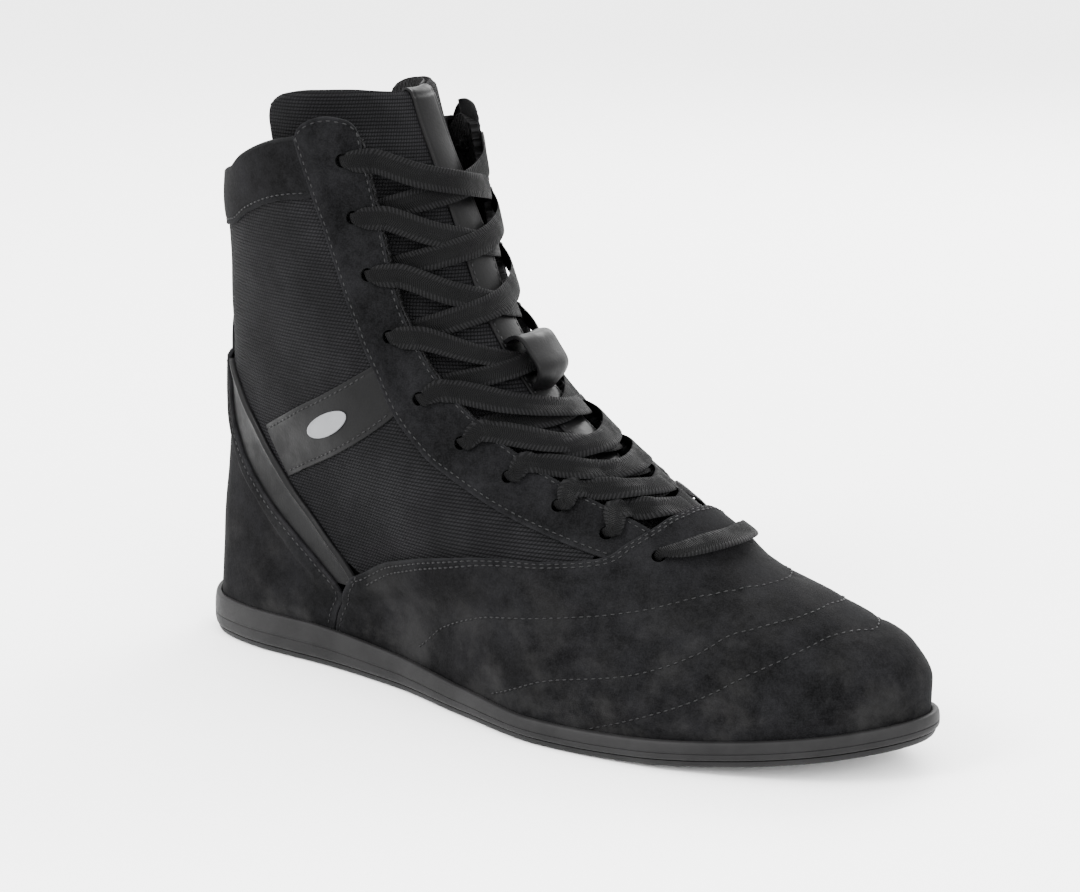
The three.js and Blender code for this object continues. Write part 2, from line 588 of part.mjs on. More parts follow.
for (const side of [-1, 1]) {
  const name = side < 0 ? 'lateral' : 'medial';

  // Mesh quarter, lapped under the eyestay, vamp, collar band and heel panel
  const meshFront = (v) => stayInner(lerp(0.95, MESH_START, v), 0.17);
  const meshBottom = (u) => {
    const end = meshFront(0);
    const a = lerp(71, end[1], u);
    return [lerp(vampTop(a) - LAP + 1, end[0], smooth(u, 0.8, 1)), a];
  };
  const meshRear = line([meshBottom(0), [40, 56], [60, 46], [80, 34], [100, 20], [112, 8], [120, 1],
    underCollar(1, LAP)]);
  const meshTop = (u) => {
    const a = lerp(1, meshFront(1)[1], u);
    return [lerp(underCollar(a, LAP)[0], meshFront(1)[0], smooth(u, 0.8, 1)), a];
  };
  add(`quarter_mesh_${name}`, sheet({
    place: mirrored(field({ bottom: meshBottom, top: meshTop, rear: meshRear, front: meshFront }), side),
    nu: 11, nv: 10, inner: constant(-MESH_THICKNESS), outer: constant(0),
  }), fabric);

  // Eyestay, punched for the lace
  const stayFace = (u, v, height) => {
    const cross = smooth(height, 76, 84) * (1 - smooth(height, 108, 116));
    const band = smooth(height, 146, 154);
    const lap = lerp(CLEARANCE, STACK.stayOverBand, Math.max(cross, band));
    return lerp(lap, STACK.base, smooth(u, 0.22, 0.38));
  };
  const stayEnd = (u) => [lerp(STAY_REAR.at(-1)[0], THROAT.at(-1)[0], u),
    lerp(STAY_REAR.at(-1)[1], THROAT.at(-1)[1], u)];
  const stayPlace = field({
    bottom: line(STAY_TOP), top: stayEnd, rear: line(STAY_REAR), front: line(THROAT),
  });
  add(`eyestay_${name}`, punched(sheet({
    place: mirrored(stayPlace, side), nu: 5, nv: 17, inner: stayFace,
    outer: plus(stayFace, SUEDE_THICKNESS),
  }), [side]), suede);

  // Collar band round the top of the shaft, ending under the eyestay
  add(`collar_band_${name}`, sheet({
    place: (u, v) => {
      const a = lerp(0.4, 106, u);
      return [lerp(collarBottom(a), collarTop(a), v), side * a];
    },
    nu: 12, nv: 2, inner: constant(STACK.band), outer: constant(STACK.band + BAND_THICKNESS),
  }), suede);
  add(`collar_padding_${name}`, sheet({
    place: (u, v) => {
      const a = lerp(0.4, 100, u);
      return [lerp(collarBottom(a) + LAP + 0.8, collarTop(a) - 0.8, v), side * a];
    },
    nu: 10, nv: 2, inner: constant(STACK.stiff), outer: constant(0),
  }), foam);

  // Diagonal strap from the vamp up to the back of the heel
  const strapFront = line(STRAP_FRONT);
  const strapRear = line([[18.5, 58.5], [23, 55.5], [38, 48], [53, 39], [68, 31], [78, 26], [88, 19]]);
  add(`diagonal_strap_${name}`, sheet({
    place: (u, v) => {
      const rear = strapRear(v);
      const front = strapFront(v);
      return [lerp(rear[0], front[0], u), side * lerp(rear[1], front[1], u)];
    },
    nu: 3, nv: 9, inner: constant(CLEARANCE), outer: constant(CLEARANCE + STRAP_THICKNESS),
  }), leather);

  // Side strap between the diagonal strap and the eyestay, with its badge
  const [c0, c1, c2, c3] = STRAP_BAND;
  const strapPlace = (u, v) => [
    lerp(lerp(c0[0], c1[0], u), lerp(c3[0], c2[0], u), v),
    lerp(lerp(c0[1], c1[1], u), lerp(c3[1], c2[1], u), v),
  ];
  add(`side_strap_${name}`, sheet({
    place: mirrored(strapPlace, side), nu: 10, nv: 4,
    inner: constant(STACK.band), outer: constant(STACK.band + BAND_THICKNESS),
  }), leather);
  const middle = strapPlace(0.46, 0.5);
  const along = onLast(...strapPlace(0.56, 0.5), 0).sub(onLast(...strapPlace(0.36, 0.5), 0));
  const across = onLast(...strapPlace(0.46, 0.7), 0).sub(onLast(...strapPlace(0.46, 0.3), 0));
  const stepAlong = 0.2 / along.length();
  const stepAcross = 0.4 / across.length();
  const badgeRim = [];
  for (let i = 0; i < 20; i += 1) {
    const turn = (2 * Math.PI * i) / 20;
    badgeRim.push([
      0.46 + Math.cos(turn) * (BADGE_LENGTH / 2) * stepAlong,
      0.5 + Math.sin(turn) * (BADGE_WIDTH / 2) * stepAcross,
    ]);
  }
  const badgeBase = STACK.band + BAND_THICKNESS + CLEARANCE;
  const badgePoints = [];
  const badgeTriangles = [];
  const badgeAt = ([u, v], offset) => {
    const [height, angle] = strapPlace(u, v);
    return onLast(height, side * angle, offset);
  };
  for (const offset of [badgeBase, badgeBase + BADGE_THICKNESS]) {
    badgePoints.push(badgeAt([0.46, 0.5], offset));
    for (const rim of badgeRim) badgePoints.push(badgeAt(rim, offset));
  }
  for (let i = 0; i < 20; i += 1) {
    const [a, b] = [1 + i, 1 + ((i + 1) % 20)];
    badgeTriangles.push([0, b, a], [21, a + 21, b + 21], [a, b, b + 21], [a, b + 21, a + 21]);
  }
  add(`badge_${name}`, closedGeometry(badgePoints, badgeTriangles), silver);
  if (middle[0] < 0) throw new Error('badge off the strap');

  // Knitted lining of the quarter, from the insole to the collar
  const liningFront = (v) => line(THROAT)(lerp(0.97, 0.01, v));
  const seam = liningSeam();
  const liningBottom = (u) => line([[-CUP_DEPTH, 0.5], [-CUP_DEPTH, 50], [-CUP_DEPTH, 92], ...seam,
    liningFront(0)])(u);
  const liningTop = (u) => line([[collarTop(0.5) - 0.6, 0.5], [collarTop(52) - 0.6, 52],
    [collarTop(87) - 0.6, 87], [176, 104], [181, 118], liningFront(1)])(u);
  add(`lining_${name}`, punched(sheet({
    place: mirrored(field({
      bottom: liningBottom, top: liningTop,
      rear: line([[-CUP_DEPTH, 0.5], [collarTop(0.5) - 0.6, 0.5]]), front: liningFront,
    }), side),
    nu: 16, nv: 8, inner: constant(STACK.lining), outer: constant(STACK.lining + LINING_THICKNESS),
  }), [side]), knit);
}

// Seam between the quarter lining and the vamp lining
function liningSeam() {
  return [[10, 106], [28, 121], [46, 142], [54, 154]];
}

const liningEdge = heightBy([[-CUP_DEPTH, 92], ...liningSeam(), [57, 161], [60, 180]]);
add('vamp_lining', punched(sheet({
  place: (u, v) => {
    const turn = 180 + (2 * u - 1) * (180 - 101);
    const a = 180 - Math.abs(turn - 180);
    return [lerp(-CUP_DEPTH, liningEdge(a) - 2, v), turn];
  },
  nu: 20, nv: 5, inner: constant(STACK.lining), outer: constant(STACK.lining + LINING_THICKNESS),
}), [1, -1]), knit);

// Stiffeners at heel and toe
const counterTop = heightBy(COUNTER_TOP);
add('heel_counter', sheet({
  place: (u, v) => {
    const turn = (2 * u - 1) * 57;
    return [lerp(-CUP_DEPTH, counterTop(Math.abs(turn)), v), turn];
  },
  nu: 16, nv: 3, inner: constant(STACK.stiff), outer: constant(STACK.stiff + STIFFENER_THICKNESS),
}), stiffener);
add('toe_puff', sheet({
  place: (u, v) => {
    const turn = 180 + (2 * u - 1) * (180 - PUFF_REAR);
    const fade = Math.abs(2 * u - 1) ** 3;
    return [lerp(-CUP_DEPTH, lerp(PUFF_TOP, PUFF_TOP * 0.5, fade), v), turn];
  },
  nu: 10, nv: 3, inner: constant(STACK.stiff), outer: constant(STACK.stiff + STIFFENER_THICKNESS),
}), stiffener);

// ---------------------------------------------------------------- tongue
const tongueTopLine = (() => {
  const [height, angle] = TONGUE_EDGE.at(-1);
  return line([[height, angle], [lerp(height, TONGUE_TOP, 0.7), 92], [TONGUE_TOP - 0.5, 110],
    [TONGUE_TOP, 140], [TONGUE_TOP, 180]]);
})();
const halfLine = (curve, u) => {
  const [height, angle] = curve(u < 0.5 ? 2 * u : 2 - 2 * u);
  return [height, u < 0.5 ? angle : 360 - angle];
};
const tongueBase = line([TONGUE_EDGE[0], [57, 172], [58, 180]]);
const tonguePlace = field({
  bottom: (u) => halfLine(tongueBase, u),
  top: (u) => halfLine(tongueTopLine, u),
  rear: line(TONGUE_EDGE),
  front: (v) => {
    const [height, angle] = line(TONGUE_EDGE)(v);
    return [height, 360 - angle];
  },
});
// Outer face of the tongue: it swells between the throat edges.
const throatAngle = angleBy([...THROAT].reverse());
function tongueOuter(height, turn) {
  const open = 180 - throatAngle(Math.min(179, Math.max(57, height)));
  const off = Math.abs(turn - 180) / open;
  const swell = (1 - smooth(off, 0.35, 0.85)) * smooth(height, 66, 84);
  const lean = TONGUE_LEAN * smooth(height, 150, TONGUE_TOP + 12);
  return STACK.lining - TONGUE_GAP + TONGUE_RISE * swell - lean;
}
const tongueLayer = (drop) => (u, v, height, turn) => tongueOuter(height, turn) - drop;
const coverBack = TONGUE_COVER_THICKNESS;
const foamFront = coverBack + CLEARANCE;
const foamBack = foamFront + TONGUE_FOAM_THICKNESS;
const tongueSheet = (front, back, inset) => sheet({
  place: (u, v) => tonguePlace(lerp(inset, 1 - inset, u), lerp(inset, 1 - inset, v)),
  nu: 14, nv: 12, inner: tongueLayer(back), outer: tongueLayer(front),
});
add('tongue_cover', tongueSheet(0, coverBack, 0), fabric);
add('tongue_foam', tongueSheet(foamFront, foamBack, 0.012), foam);
add('tongue_lining', tongueSheet(foamBack + CLEARANCE, foamBack + CLEARANCE + coverBack, 0), knit);
const stripFace = (u, v, height, turn) => tongueOuter(height, turn) + CLEARANCE + 0.15;
add('tongue_strip', sheet({
  place: (u, v) => [lerp(64, TONGUE_TOP - 0.5, v), 180 + (2 * u - 1) * TONGUE_STRIP_ANGLE],
  nu: 3, nv: 14, inner: stripFace, outer: plus(stripFace, BAND_THICKNESS),
}), leather);

// Keeper loop: an arched strap stitched to the strip above and below the lace
const keeperHeight = (THROAT_PLACES[KEEPER_ROW][0] + THROAT_PLACES[KEEPER_ROW + 1][0]) / 2;
const keeperFoot = tongueOuter(keeperHeight, 180) + BAND_THICKNESS + 3 * CLEARANCE;
function keeperLoop() {
  const mid = lastPoint(keeperHeight, 180);
  const slope = lastPoint(keeperHeight + 4, 180).sub(lastPoint(keeperHeight - 4, 180)).length() / 8;
  const half = LOOP_HEIGHT / 2 / slope;
  const outline = [];
  const steps = 12;
  for (let i = 0; i <= steps; i += 1) {
    const s = (2 * i) / steps - 1;
    const arch = keeperFoot + (LOOP_RISE - keeperFoot) * Math.sqrt(Math.max(0, 1 - Math.abs(s) ** 5));
    outline.push([keeperHeight + s * half * 0.86, arch]);
  }
  const points = [];
  const triangles = [];
  const turnOf = (side) => {
    const y = (side * LOOP_WIDTH) / 2;
    const probe = lastPoint(keeperHeight, 179).y - mid.y;
    return 180 + y / Math.abs(probe);
  };
  const column = (side) => {
    const t = turnOf(side);
    const inner = outline.map(([h, o]) => onLast(h, t, o));
    const outer = outline.map(([h, o], i) => {
      const s = Math.abs((2 * i) / steps - 1);
      const spread = 1 + 0.16 * s;
      const drop = s === 1 ? 0 : LOOP_THICKNESS;
      return onLast(keeperHeight + (h - keeperHeight) * spread, t, o + drop);
    });
    return [...inner, ...outer.reverse()];
  };
  for (const side of [-1, -0.33, 0.33, 1]) points.push(...column(side));
  const n = 2 * (steps + 1);
  for (let c = 0; c < 3; c += 1) {
    for (let i = 0; i < n; i += 1) {
      const [a, b] = [c * n + i, c * n + ((i + 1) % n)];
      triangles.push([a, b, b + n], [a, b + n, a + n]);
    }
  }
  for (let i = 0; i < steps; i += 1) {
    const [a, b, c, d] = [i, i + 1, n - 2 - i, n - 1 - i];
    triangles.push([a, c, b], [a, d, c]);
    triangles.push([a + 3 * n, b + 3 * n, c + 3 * n], [a + 3 * n, c + 3 * n, d + 3 * n]);
  }
  return closedGeometry(points, triangles);
}
add('lace_keeper', keeperLoop(), leather);

// ---------------------------------------------------------------- lace
const halfLace = LACE_THICKNESS / 2;
const insideOffset = STACK.lining - 0.7 - halfLace;
const stayOuter = STACK.base + SUEDE_THICKNESS;
const outsideOffset = stayOuter + LAYER_GAP + 0.3 + halfLace;
const barOffset = STACK.overStay + SUEDE_THICKNESS + LAYER_GAP + 0.7 + halfLace;
const crossLow = STACK.lining - TONGUE_GAP + TONGUE_RISE + BAND_THICKNESS + 5 * CLEARANCE + halfLace;
const crossHigh = crossLow + LACE_THICKNESS + 2 * CLEARANCE;

// Knots of the lace: place on the last, offset, width, thickness, and the
// direction of its width: 0 along the throat, 1 round the foot.
const knot = (height, turn, offset, width = LACE_WIDTH, thick = LACE_THICKNESS, roll = 0) => (
  { height, turn, offset, width, thick, roll }
);
const signed = (side, angle) => (side > 0 ? angle : 360 - angle);

// Down through an eyelet from outside, leaving on the inside.
function throughEyelet(row, side, outside) {
  const [height, angle] = EYELETS[row];
  const gathered = [LACE_GATHERED_WIDTH, LACE_GATHERED_THICKNESS];
  return [
    knot(height, signed(side, angle + 2.2), outside + 0.1, 4, 1.2),
    knot(height, signed(side, angle + 0.7), outside - 0.2, ...gathered),
    knot(height, signed(side, angle - 0.3), outside * 0.35 - 0.6, ...gathered),
    knot(height, signed(side, angle - 0.2), (STACK.lining + stayOuter) / 2 - 0.6, ...gathered),
    knot(height, signed(side, angle + 0.3), insideOffset + 0.5, ...gathered),
    knot(height, signed(side, angle + 1.8), insideOffset - 0.1, 3.8, 1.2),
  ];
}

// From an eyelet across the throat to the next eyelet up on the other side.
function crossing(row, side) {
  const [fromHeight, fromAngle] = THROAT_PLACES[row];
  const [toHeight, toAngle] = THROAT_PLACES[row - 1];
  const [holeHeight, holeAngle] = EYELETS[row];
  const [nextHeight, nextAngle] = EYELETS[row - 1];
  const onTop = TOP_STRAND[row - 1] === side;
  const middle = (onTop ? crossHigh : crossLow) + LACE_CROWN * ramp(row, 5, 7);
  const height = (fromHeight + toHeight) / 2;
  const under = lerp(0.5, 0, 0);
  return [
    knot(lerp(holeHeight, fromHeight, 0.6) + 1, signed(side, lerp(holeAngle, fromAngle, under)),
      insideOffset, 5.2),
    knot(fromHeight + 1.5, signed(side, fromAngle + 1.5), insideOffset + 0.1, 6.8),
    knot(lerp(fromHeight, height, 0.5) + 1, signed(side, lerp(fromAngle, 180, 0.45)),
      onTop ? middle - 1.1 : middle - 0.9),
    knot(height, 180, middle),
    knot(lerp(toHeight, height, 0.5) - 1, signed(-side, lerp(toAngle, 180, 0.45)),
      onTop ? middle + 0.5 : middle + 0.9),
    knot(toHeight - 1.5, signed(-side, toAngle - 0.5), outsideOffset + 0.1, 7.2),
    knot(lerp(toHeight, nextHeight, 0.6) - 0.5, signed(-side, lerp(toAngle, nextAngle, 0.6)),
      outsideOffset, 6.2),
  ];
}

function laceHalf(side) {
  const knots = [...throughEyelet(9, side, barOffset)];
  let now = side;
  for (let row = 9; row >= 1; row -= 1) {
    knots.push(...crossing(row, now));
    now = -now;
    knots.push(...throughEyelet(row - 1, now, outsideOffset));
  }
  const [height, angle] = EYELETS[0];
  knots.push(knot(height - 2, signed(now, angle - 3), insideOffset, 4.5, LACE_THICKNESS, 0.35));
  knots.push(knot(height - 8, signed(now, angle - 8), insideOffset, 6, LACE_THICKNESS, 0.75));
  for (const [drop, shift] of [[18, -17], [34, -26], [52, -33], [68, -38]]) {
    const end = drop > 60;
    knots.push(knot(height - drop, signed(now, angle + shift), insideOffset - (end ? 1.2 : 0.3),
      end ? 3 : LACE_WIDTH, end ? 2 : LACE_THICKNESS, 1));
  }
  return { knots, end: now };
}

const leftHalf = laceHalf(-1);
const rightHalf = laceHalf(1);
const [barHeight, barAngle] = EYELETS[9];
const bar = [
  knot(barHeight + 0.3, signed(-1, barAngle + 7), barOffset + 0.1, 6.8),
  knot(barHeight + 1.2, 192, barOffset),
  knot(barHeight + 1.4, 180, barOffset),
  knot(barHeight + 1.2, 168, barOffset),
  knot(barHeight + 0.3, signed(1, barAngle + 7), barOffset + 0.1, 6.8),
];
const laceKnots = [...[...leftHalf.knots].reverse(), ...bar, ...rightHalf.knots];

function laceFrame(k) {
  const up = lastPoint(k.height + 1, k.turn).sub(lastPoint(k.height - 1, k.turn)).normalize();
  const round = lastPoint(k.height, k.turn + 1).sub(lastPoint(k.height, k.turn - 1)).normalize();
  if (round.y > 0) round.negate();
  return { point: onLast(k.height, k.turn, k.offset), up, round };
}

function ribbon(knots) {
  const frames = knots.map(laceFrame);
  const curve = new THREE.CatmullRomCurve3(frames.map((f) => f.point), false, 'centripetal');
  const places = [0];
  for (let k = 0; k + 1 < knots.length; k += 1) {
    const pieces = Math.ceil(frames[k].point.distanceTo(frames[k + 1].point) / LACE_STEP);
    for (let p = 1; p <= pieces; p += 1) places.push(k + p / pieces);
  }
  const count = places.length - 1;
  const last = knots.length - 1;
  const points = [];
  const triangles = [];
  let before = null;
  for (const s of places) {
    const k = Math.min(last - 1, Math.floor(s));
    const f = s - k;
    const at = curve.getPoint(s / last);
    const ahead = curve.getPoint(Math.min(1, (s + 0.2) / last));
    const behind = curve.getPoint(Math.max(0, (s - 0.2) / last));
    const tangent = ahead.sub(behind).normalize();
    const roll = lerp(knots[k].roll, knots[k + 1].roll, f);
    const up = frames[k].up.clone().lerp(frames[k + 1].up, f);
    const round = frames[k].round.clone().lerp(frames[k + 1].round, f);
    const width = up.multiplyScalar(Math.cos((roll * Math.PI) / 2))
      .addScaledVector(round, Math.sin((roll * Math.PI) / 2));
    width.addScaledVector(tangent, -width.dot(tangent)).normalize();
    if (before && before.dot(width) < 0) width.negate();
    before = width;
    const thick = tangent.clone().cross(width);
    const w = lerp(knots[k].width, knots[k + 1].width, f) / 2;
    const h = lerp(knots[k].thick, knots[k + 1].thick, f) / 2;
    for (const [a, b] of [[-1, -1], [1, -1], [1, 1], [-1, 1]]) {
      points.push(at.clone().addScaledVector(width, a * w).addScaledVector(thick, b * h));
    }
  }
  for (let i = 0; i < count; i += 1) {
    for (let k = 0; k < 4; k += 1) {
      const [a, b] = [4 * i + k, 4 * i + ((k + 1) % 4)];
      triangles.push([a, b, b + 4], [a, b + 4, a + 4]);
    }
  }
  const e = 4 * count;
  triangles.push([0, 2, 1], [0, 3, 2], [e, e + 1, e + 2], [e, e + 2, e + 3]);
  return { geometry: closedGeometry(points, triangles), curve };
}
const lace = ribbon(laceKnots);
add('lace', lace.geometry, cord);

// Aglets on the tucked ends
for (const [name, first, last] of [['aglet_left', 0.004, 0], ['aglet_right', 0.996, 1]]) {
  const end = lace.curve.getPoint(last);
  const way = end.clone().sub(lace.curve.getPoint(first)).normalize();
  const aglet = new THREE.CylinderGeometry(AGLET_DIAMETER / 2, AGLET_DIAMETER / 2, AGLET_LENGTH, 10);
  aglet.applyQuaternion(new THREE.Quaternion().setFromUnitVectors(new THREE.Vector3(0, 1, 0), way));
  const middle = end.addScaledVector(way, AGLET_LENGTH / 2 + CLEARANCE);
  aglet.translate(middle.x, middle.y, middle.z);
  add(name, aglet, plastic);
}

// ---------------------------------------------------------------- placing
// The origin is on the ground under the middle of the boot.
const box = new THREE.Box3().setFromObject(boot);
boot.position.set(-(box.min.x + box.max.x) / 2, -(box.min.y + box.max.y) / 2, -box.min.z);

export default boot;
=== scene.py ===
"""Looks of a high lace-up boxing boot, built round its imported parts. Metres, +X toe, +Y inner side."""

import logging
import math
from collections.abc import Callable, Sequence
from dataclasses import dataclass, field
from enum import Enum
from typing import Any

import bpy
import numpy as np
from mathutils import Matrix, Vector
from mathutils.bvhtree import BVHTree


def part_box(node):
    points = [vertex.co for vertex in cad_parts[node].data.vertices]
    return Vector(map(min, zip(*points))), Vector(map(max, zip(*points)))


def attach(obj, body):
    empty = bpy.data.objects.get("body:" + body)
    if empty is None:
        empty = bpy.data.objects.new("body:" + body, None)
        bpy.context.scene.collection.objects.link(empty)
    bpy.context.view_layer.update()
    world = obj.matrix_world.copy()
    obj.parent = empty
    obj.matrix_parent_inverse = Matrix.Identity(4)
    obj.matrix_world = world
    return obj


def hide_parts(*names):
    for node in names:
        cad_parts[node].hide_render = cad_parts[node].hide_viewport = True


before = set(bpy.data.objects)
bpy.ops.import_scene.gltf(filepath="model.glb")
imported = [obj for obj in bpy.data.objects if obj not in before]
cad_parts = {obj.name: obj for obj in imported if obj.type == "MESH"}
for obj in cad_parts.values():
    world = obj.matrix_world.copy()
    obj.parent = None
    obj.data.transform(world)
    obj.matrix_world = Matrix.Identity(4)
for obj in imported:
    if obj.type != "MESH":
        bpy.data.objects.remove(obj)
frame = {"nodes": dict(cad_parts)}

Array = np.ndarray
Place = Callable[[Array, Array], tuple[Array, Array]]
Seam = Callable[[Array], tuple[Array, Array]]

log = logging.getLogger("boxing_boot")
MM = 0.001
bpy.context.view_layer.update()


class Side(Enum):
    """Side of the boot; the value is the sign of the angle round the last."""

    LATERAL = -1
    MEDIAL = 1

    @property
    def word(self) -> str:
        """The side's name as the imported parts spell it."""
        return self.name.lower()


class Edge(Enum):
    """How the rim of a panel is finished."""

    HIDDEN = "hidden"
    CUT = "cut"
    STITCHED = "stitched"
    PIPED = "piped"


class Body(Enum):
    """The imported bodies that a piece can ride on."""

    BOOT = "boot"
    TONGUE = "tongue"


# ------------------------------------------------------------------ curves
def blend(a: Any, b: Any, share: Any) -> Any:
    """Mixes a and b by share, 0 to 1."""
    return a + (b - a) * share


def ramp(x: Any, start: float, end: float) -> Any:
    """Rises from 0 at start to 1 at end, straight."""
    return np.clip((np.asarray(x, float) - start) / (end - start), 0.0, 1.0)


def ease(x: Any, start: float, end: float) -> Any:
    """Rises from 0 at start to 1 at end, softly."""
    s = ramp(x, start, end)
    return s * s * (3 - 2 * s)


class Fair:
    """A smooth curve through points that never overshoots them."""

    def __init__(self, xs: Sequence[float], ys: Sequence[float]) -> None:
        """Keeps the points and works out a tangent at each.

        Args:
            xs: Rising places.
            ys: The value at each place.
        """
        self.xs = np.asarray(xs, float)
        self.ys = np.asarray(ys, float)
        slope = np.diff(self.ys) / np.diff(self.xs)
        inner = []
        for a, b in zip(slope[:-1], slope[1:]):
            inner.append(0.0 if a * b <= 0 else 2 * a * b / (a + b))
        self.tangent = np.array([slope[0], *inner, slope[-1]])

    def __call__(self, x: Any) -> Array:
        """The value at x, held at the first and last point outside them.

        Args:
            x: Places along the curve.

        Returns:
            The value at each place.
        """
        x = np.clip(np.asarray(x, float), self.xs[0], self.xs[-1])
        i = np.clip(np.searchsorted(self.xs, x) - 1, 0, len(self.xs) - 2)
        w = self.xs[i + 1] - self.xs[i]
        s = (x - self.xs[i]) / w
        s2, s3 = s * s, s * s * s
        return (
            self.ys[i] * (2 * s3 - 3 * s2 + 1)
            + self.tangent[i] * w * (s3 - 2 * s2 + s)
            + self.ys[i + 1] * (3 * s2 - 2 * s3)
            + self.tangent[i + 1] * w * (s3 - s2)
        )


def seam_line(points: Sequence[Sequence[float]]) -> Seam:
    """A seam through [height, angle] points, run at an even pace.

    Args:
        points: The places the seam passes.

    Returns:
        A function of 0 to 1 that gives height and angle.
    """
    p = np.asarray(points, float)
    run = np.concatenate([[0.0], np.cumsum(np.hypot(*np.diff(p, axis=0).T))])
    run /= run[-1]
    height, angle = Fair(run, p[:, 0]), Fair(run, p[:, 1])
    return lambda s: (height(s), angle(s))


def height_by(points: Sequence[Sequence[float]]) -> Fair:
    """Height of a seam by its angle."""
    p = np.asarray(points, float)
    return Fair(p[:, 1], p[:, 0])


def angle_by(points: Sequence[Sequence[float]]) -> Fair:
    """Angle of a seam by its height."""
    p = np.asarray(points, float)
    return Fair(p[:, 0], p[:, 1])


def four_sided(bottom: Seam, top: Seam, rear: Seam, front: Seam) -> Place:
    """Fills a four-sided field between seams.

    Args:
        bottom: Seam at v = 0.
        top: Seam at v = 1.
        rear: Seam at u = 0.
        front: Seam at u = 1.

    Returns:
        The place, height and angle, by u and v.
    """
    zero, one = np.array(0.0), np.array(1.0)
    corners = [bottom(zero), bottom(one), top(zero), top(one)]

    def place(u: Array, v: Array) -> tuple[Array, Array]:
        """Height and angle at u and v.

        Args:
            u: Share across the panel.
            v: Share up the panel.

        Returns:
            Height and angle.
        """
        sides = (bottom(u), top(u), rear(v), front(v))
        made = []
        for k in (0, 1):
            low, high, back, fore = (side[k] for side in sides)
            flat = blend(blend(corners[0][k], corners[1][k], u), blend(corners[2][k], corners[3][k], u), v)
            made.append(blend(back, fore, u) + blend(low, high, v) - flat)
        return made[0], made[1]

    return place


def on_side(place: Place, side: Side) -> Place:
    """The same field on one side of the boot.

    Args:
        place: The place by u and v.
        side: Side of the boot.

    Returns:
        The place by u and v on that side.
    """

    def turned(u: Array, v: Array) -> tuple[Array, Array]:
        """The field's place, turned to its side."""
        height, angle = place(u, v)
        return height, side.value * angle

    return turned


# ------------------------------------------------------------------ the last
@dataclass(frozen=True)
class Layers:
    """Offsets from the last's surface in mm; outwards is positive."""

    suede: float = 1.1
    seat: float = 0.8
    band: float = 0.7
    strap: float = 1.0
    mesh: float = 1.4
    stiffener: float = 0.7
    lining: float = 1.0
    gap: float = 0.6
    clear: float = 0.3
    tongue_gap: float = 2.9
    tongue_rise: float = 1.8
    tongue_lean: float = 10.5
    tongue_cover: float = 0.8
    tongue_foam: float = 3.0

    @property
    def base(self) -> float:
        """Inner face of a suede panel with nothing under it."""
        return -self.seat

    @property
    def lining_face(self) -> float:
        """Inner face of the lining."""
        return self.base - 2 * self.gap - self.stiffener - self.lining

    @property
    def stay_over_band(self) -> float:
        """Inner face of an eyestay where it laps over a strap."""
        return 2 * self.clear + self.band

    @property
    def over_stay(self) -> float:
        """Inner face of a panel that laps over all others."""
        return self.clear + self.suede + self.gap


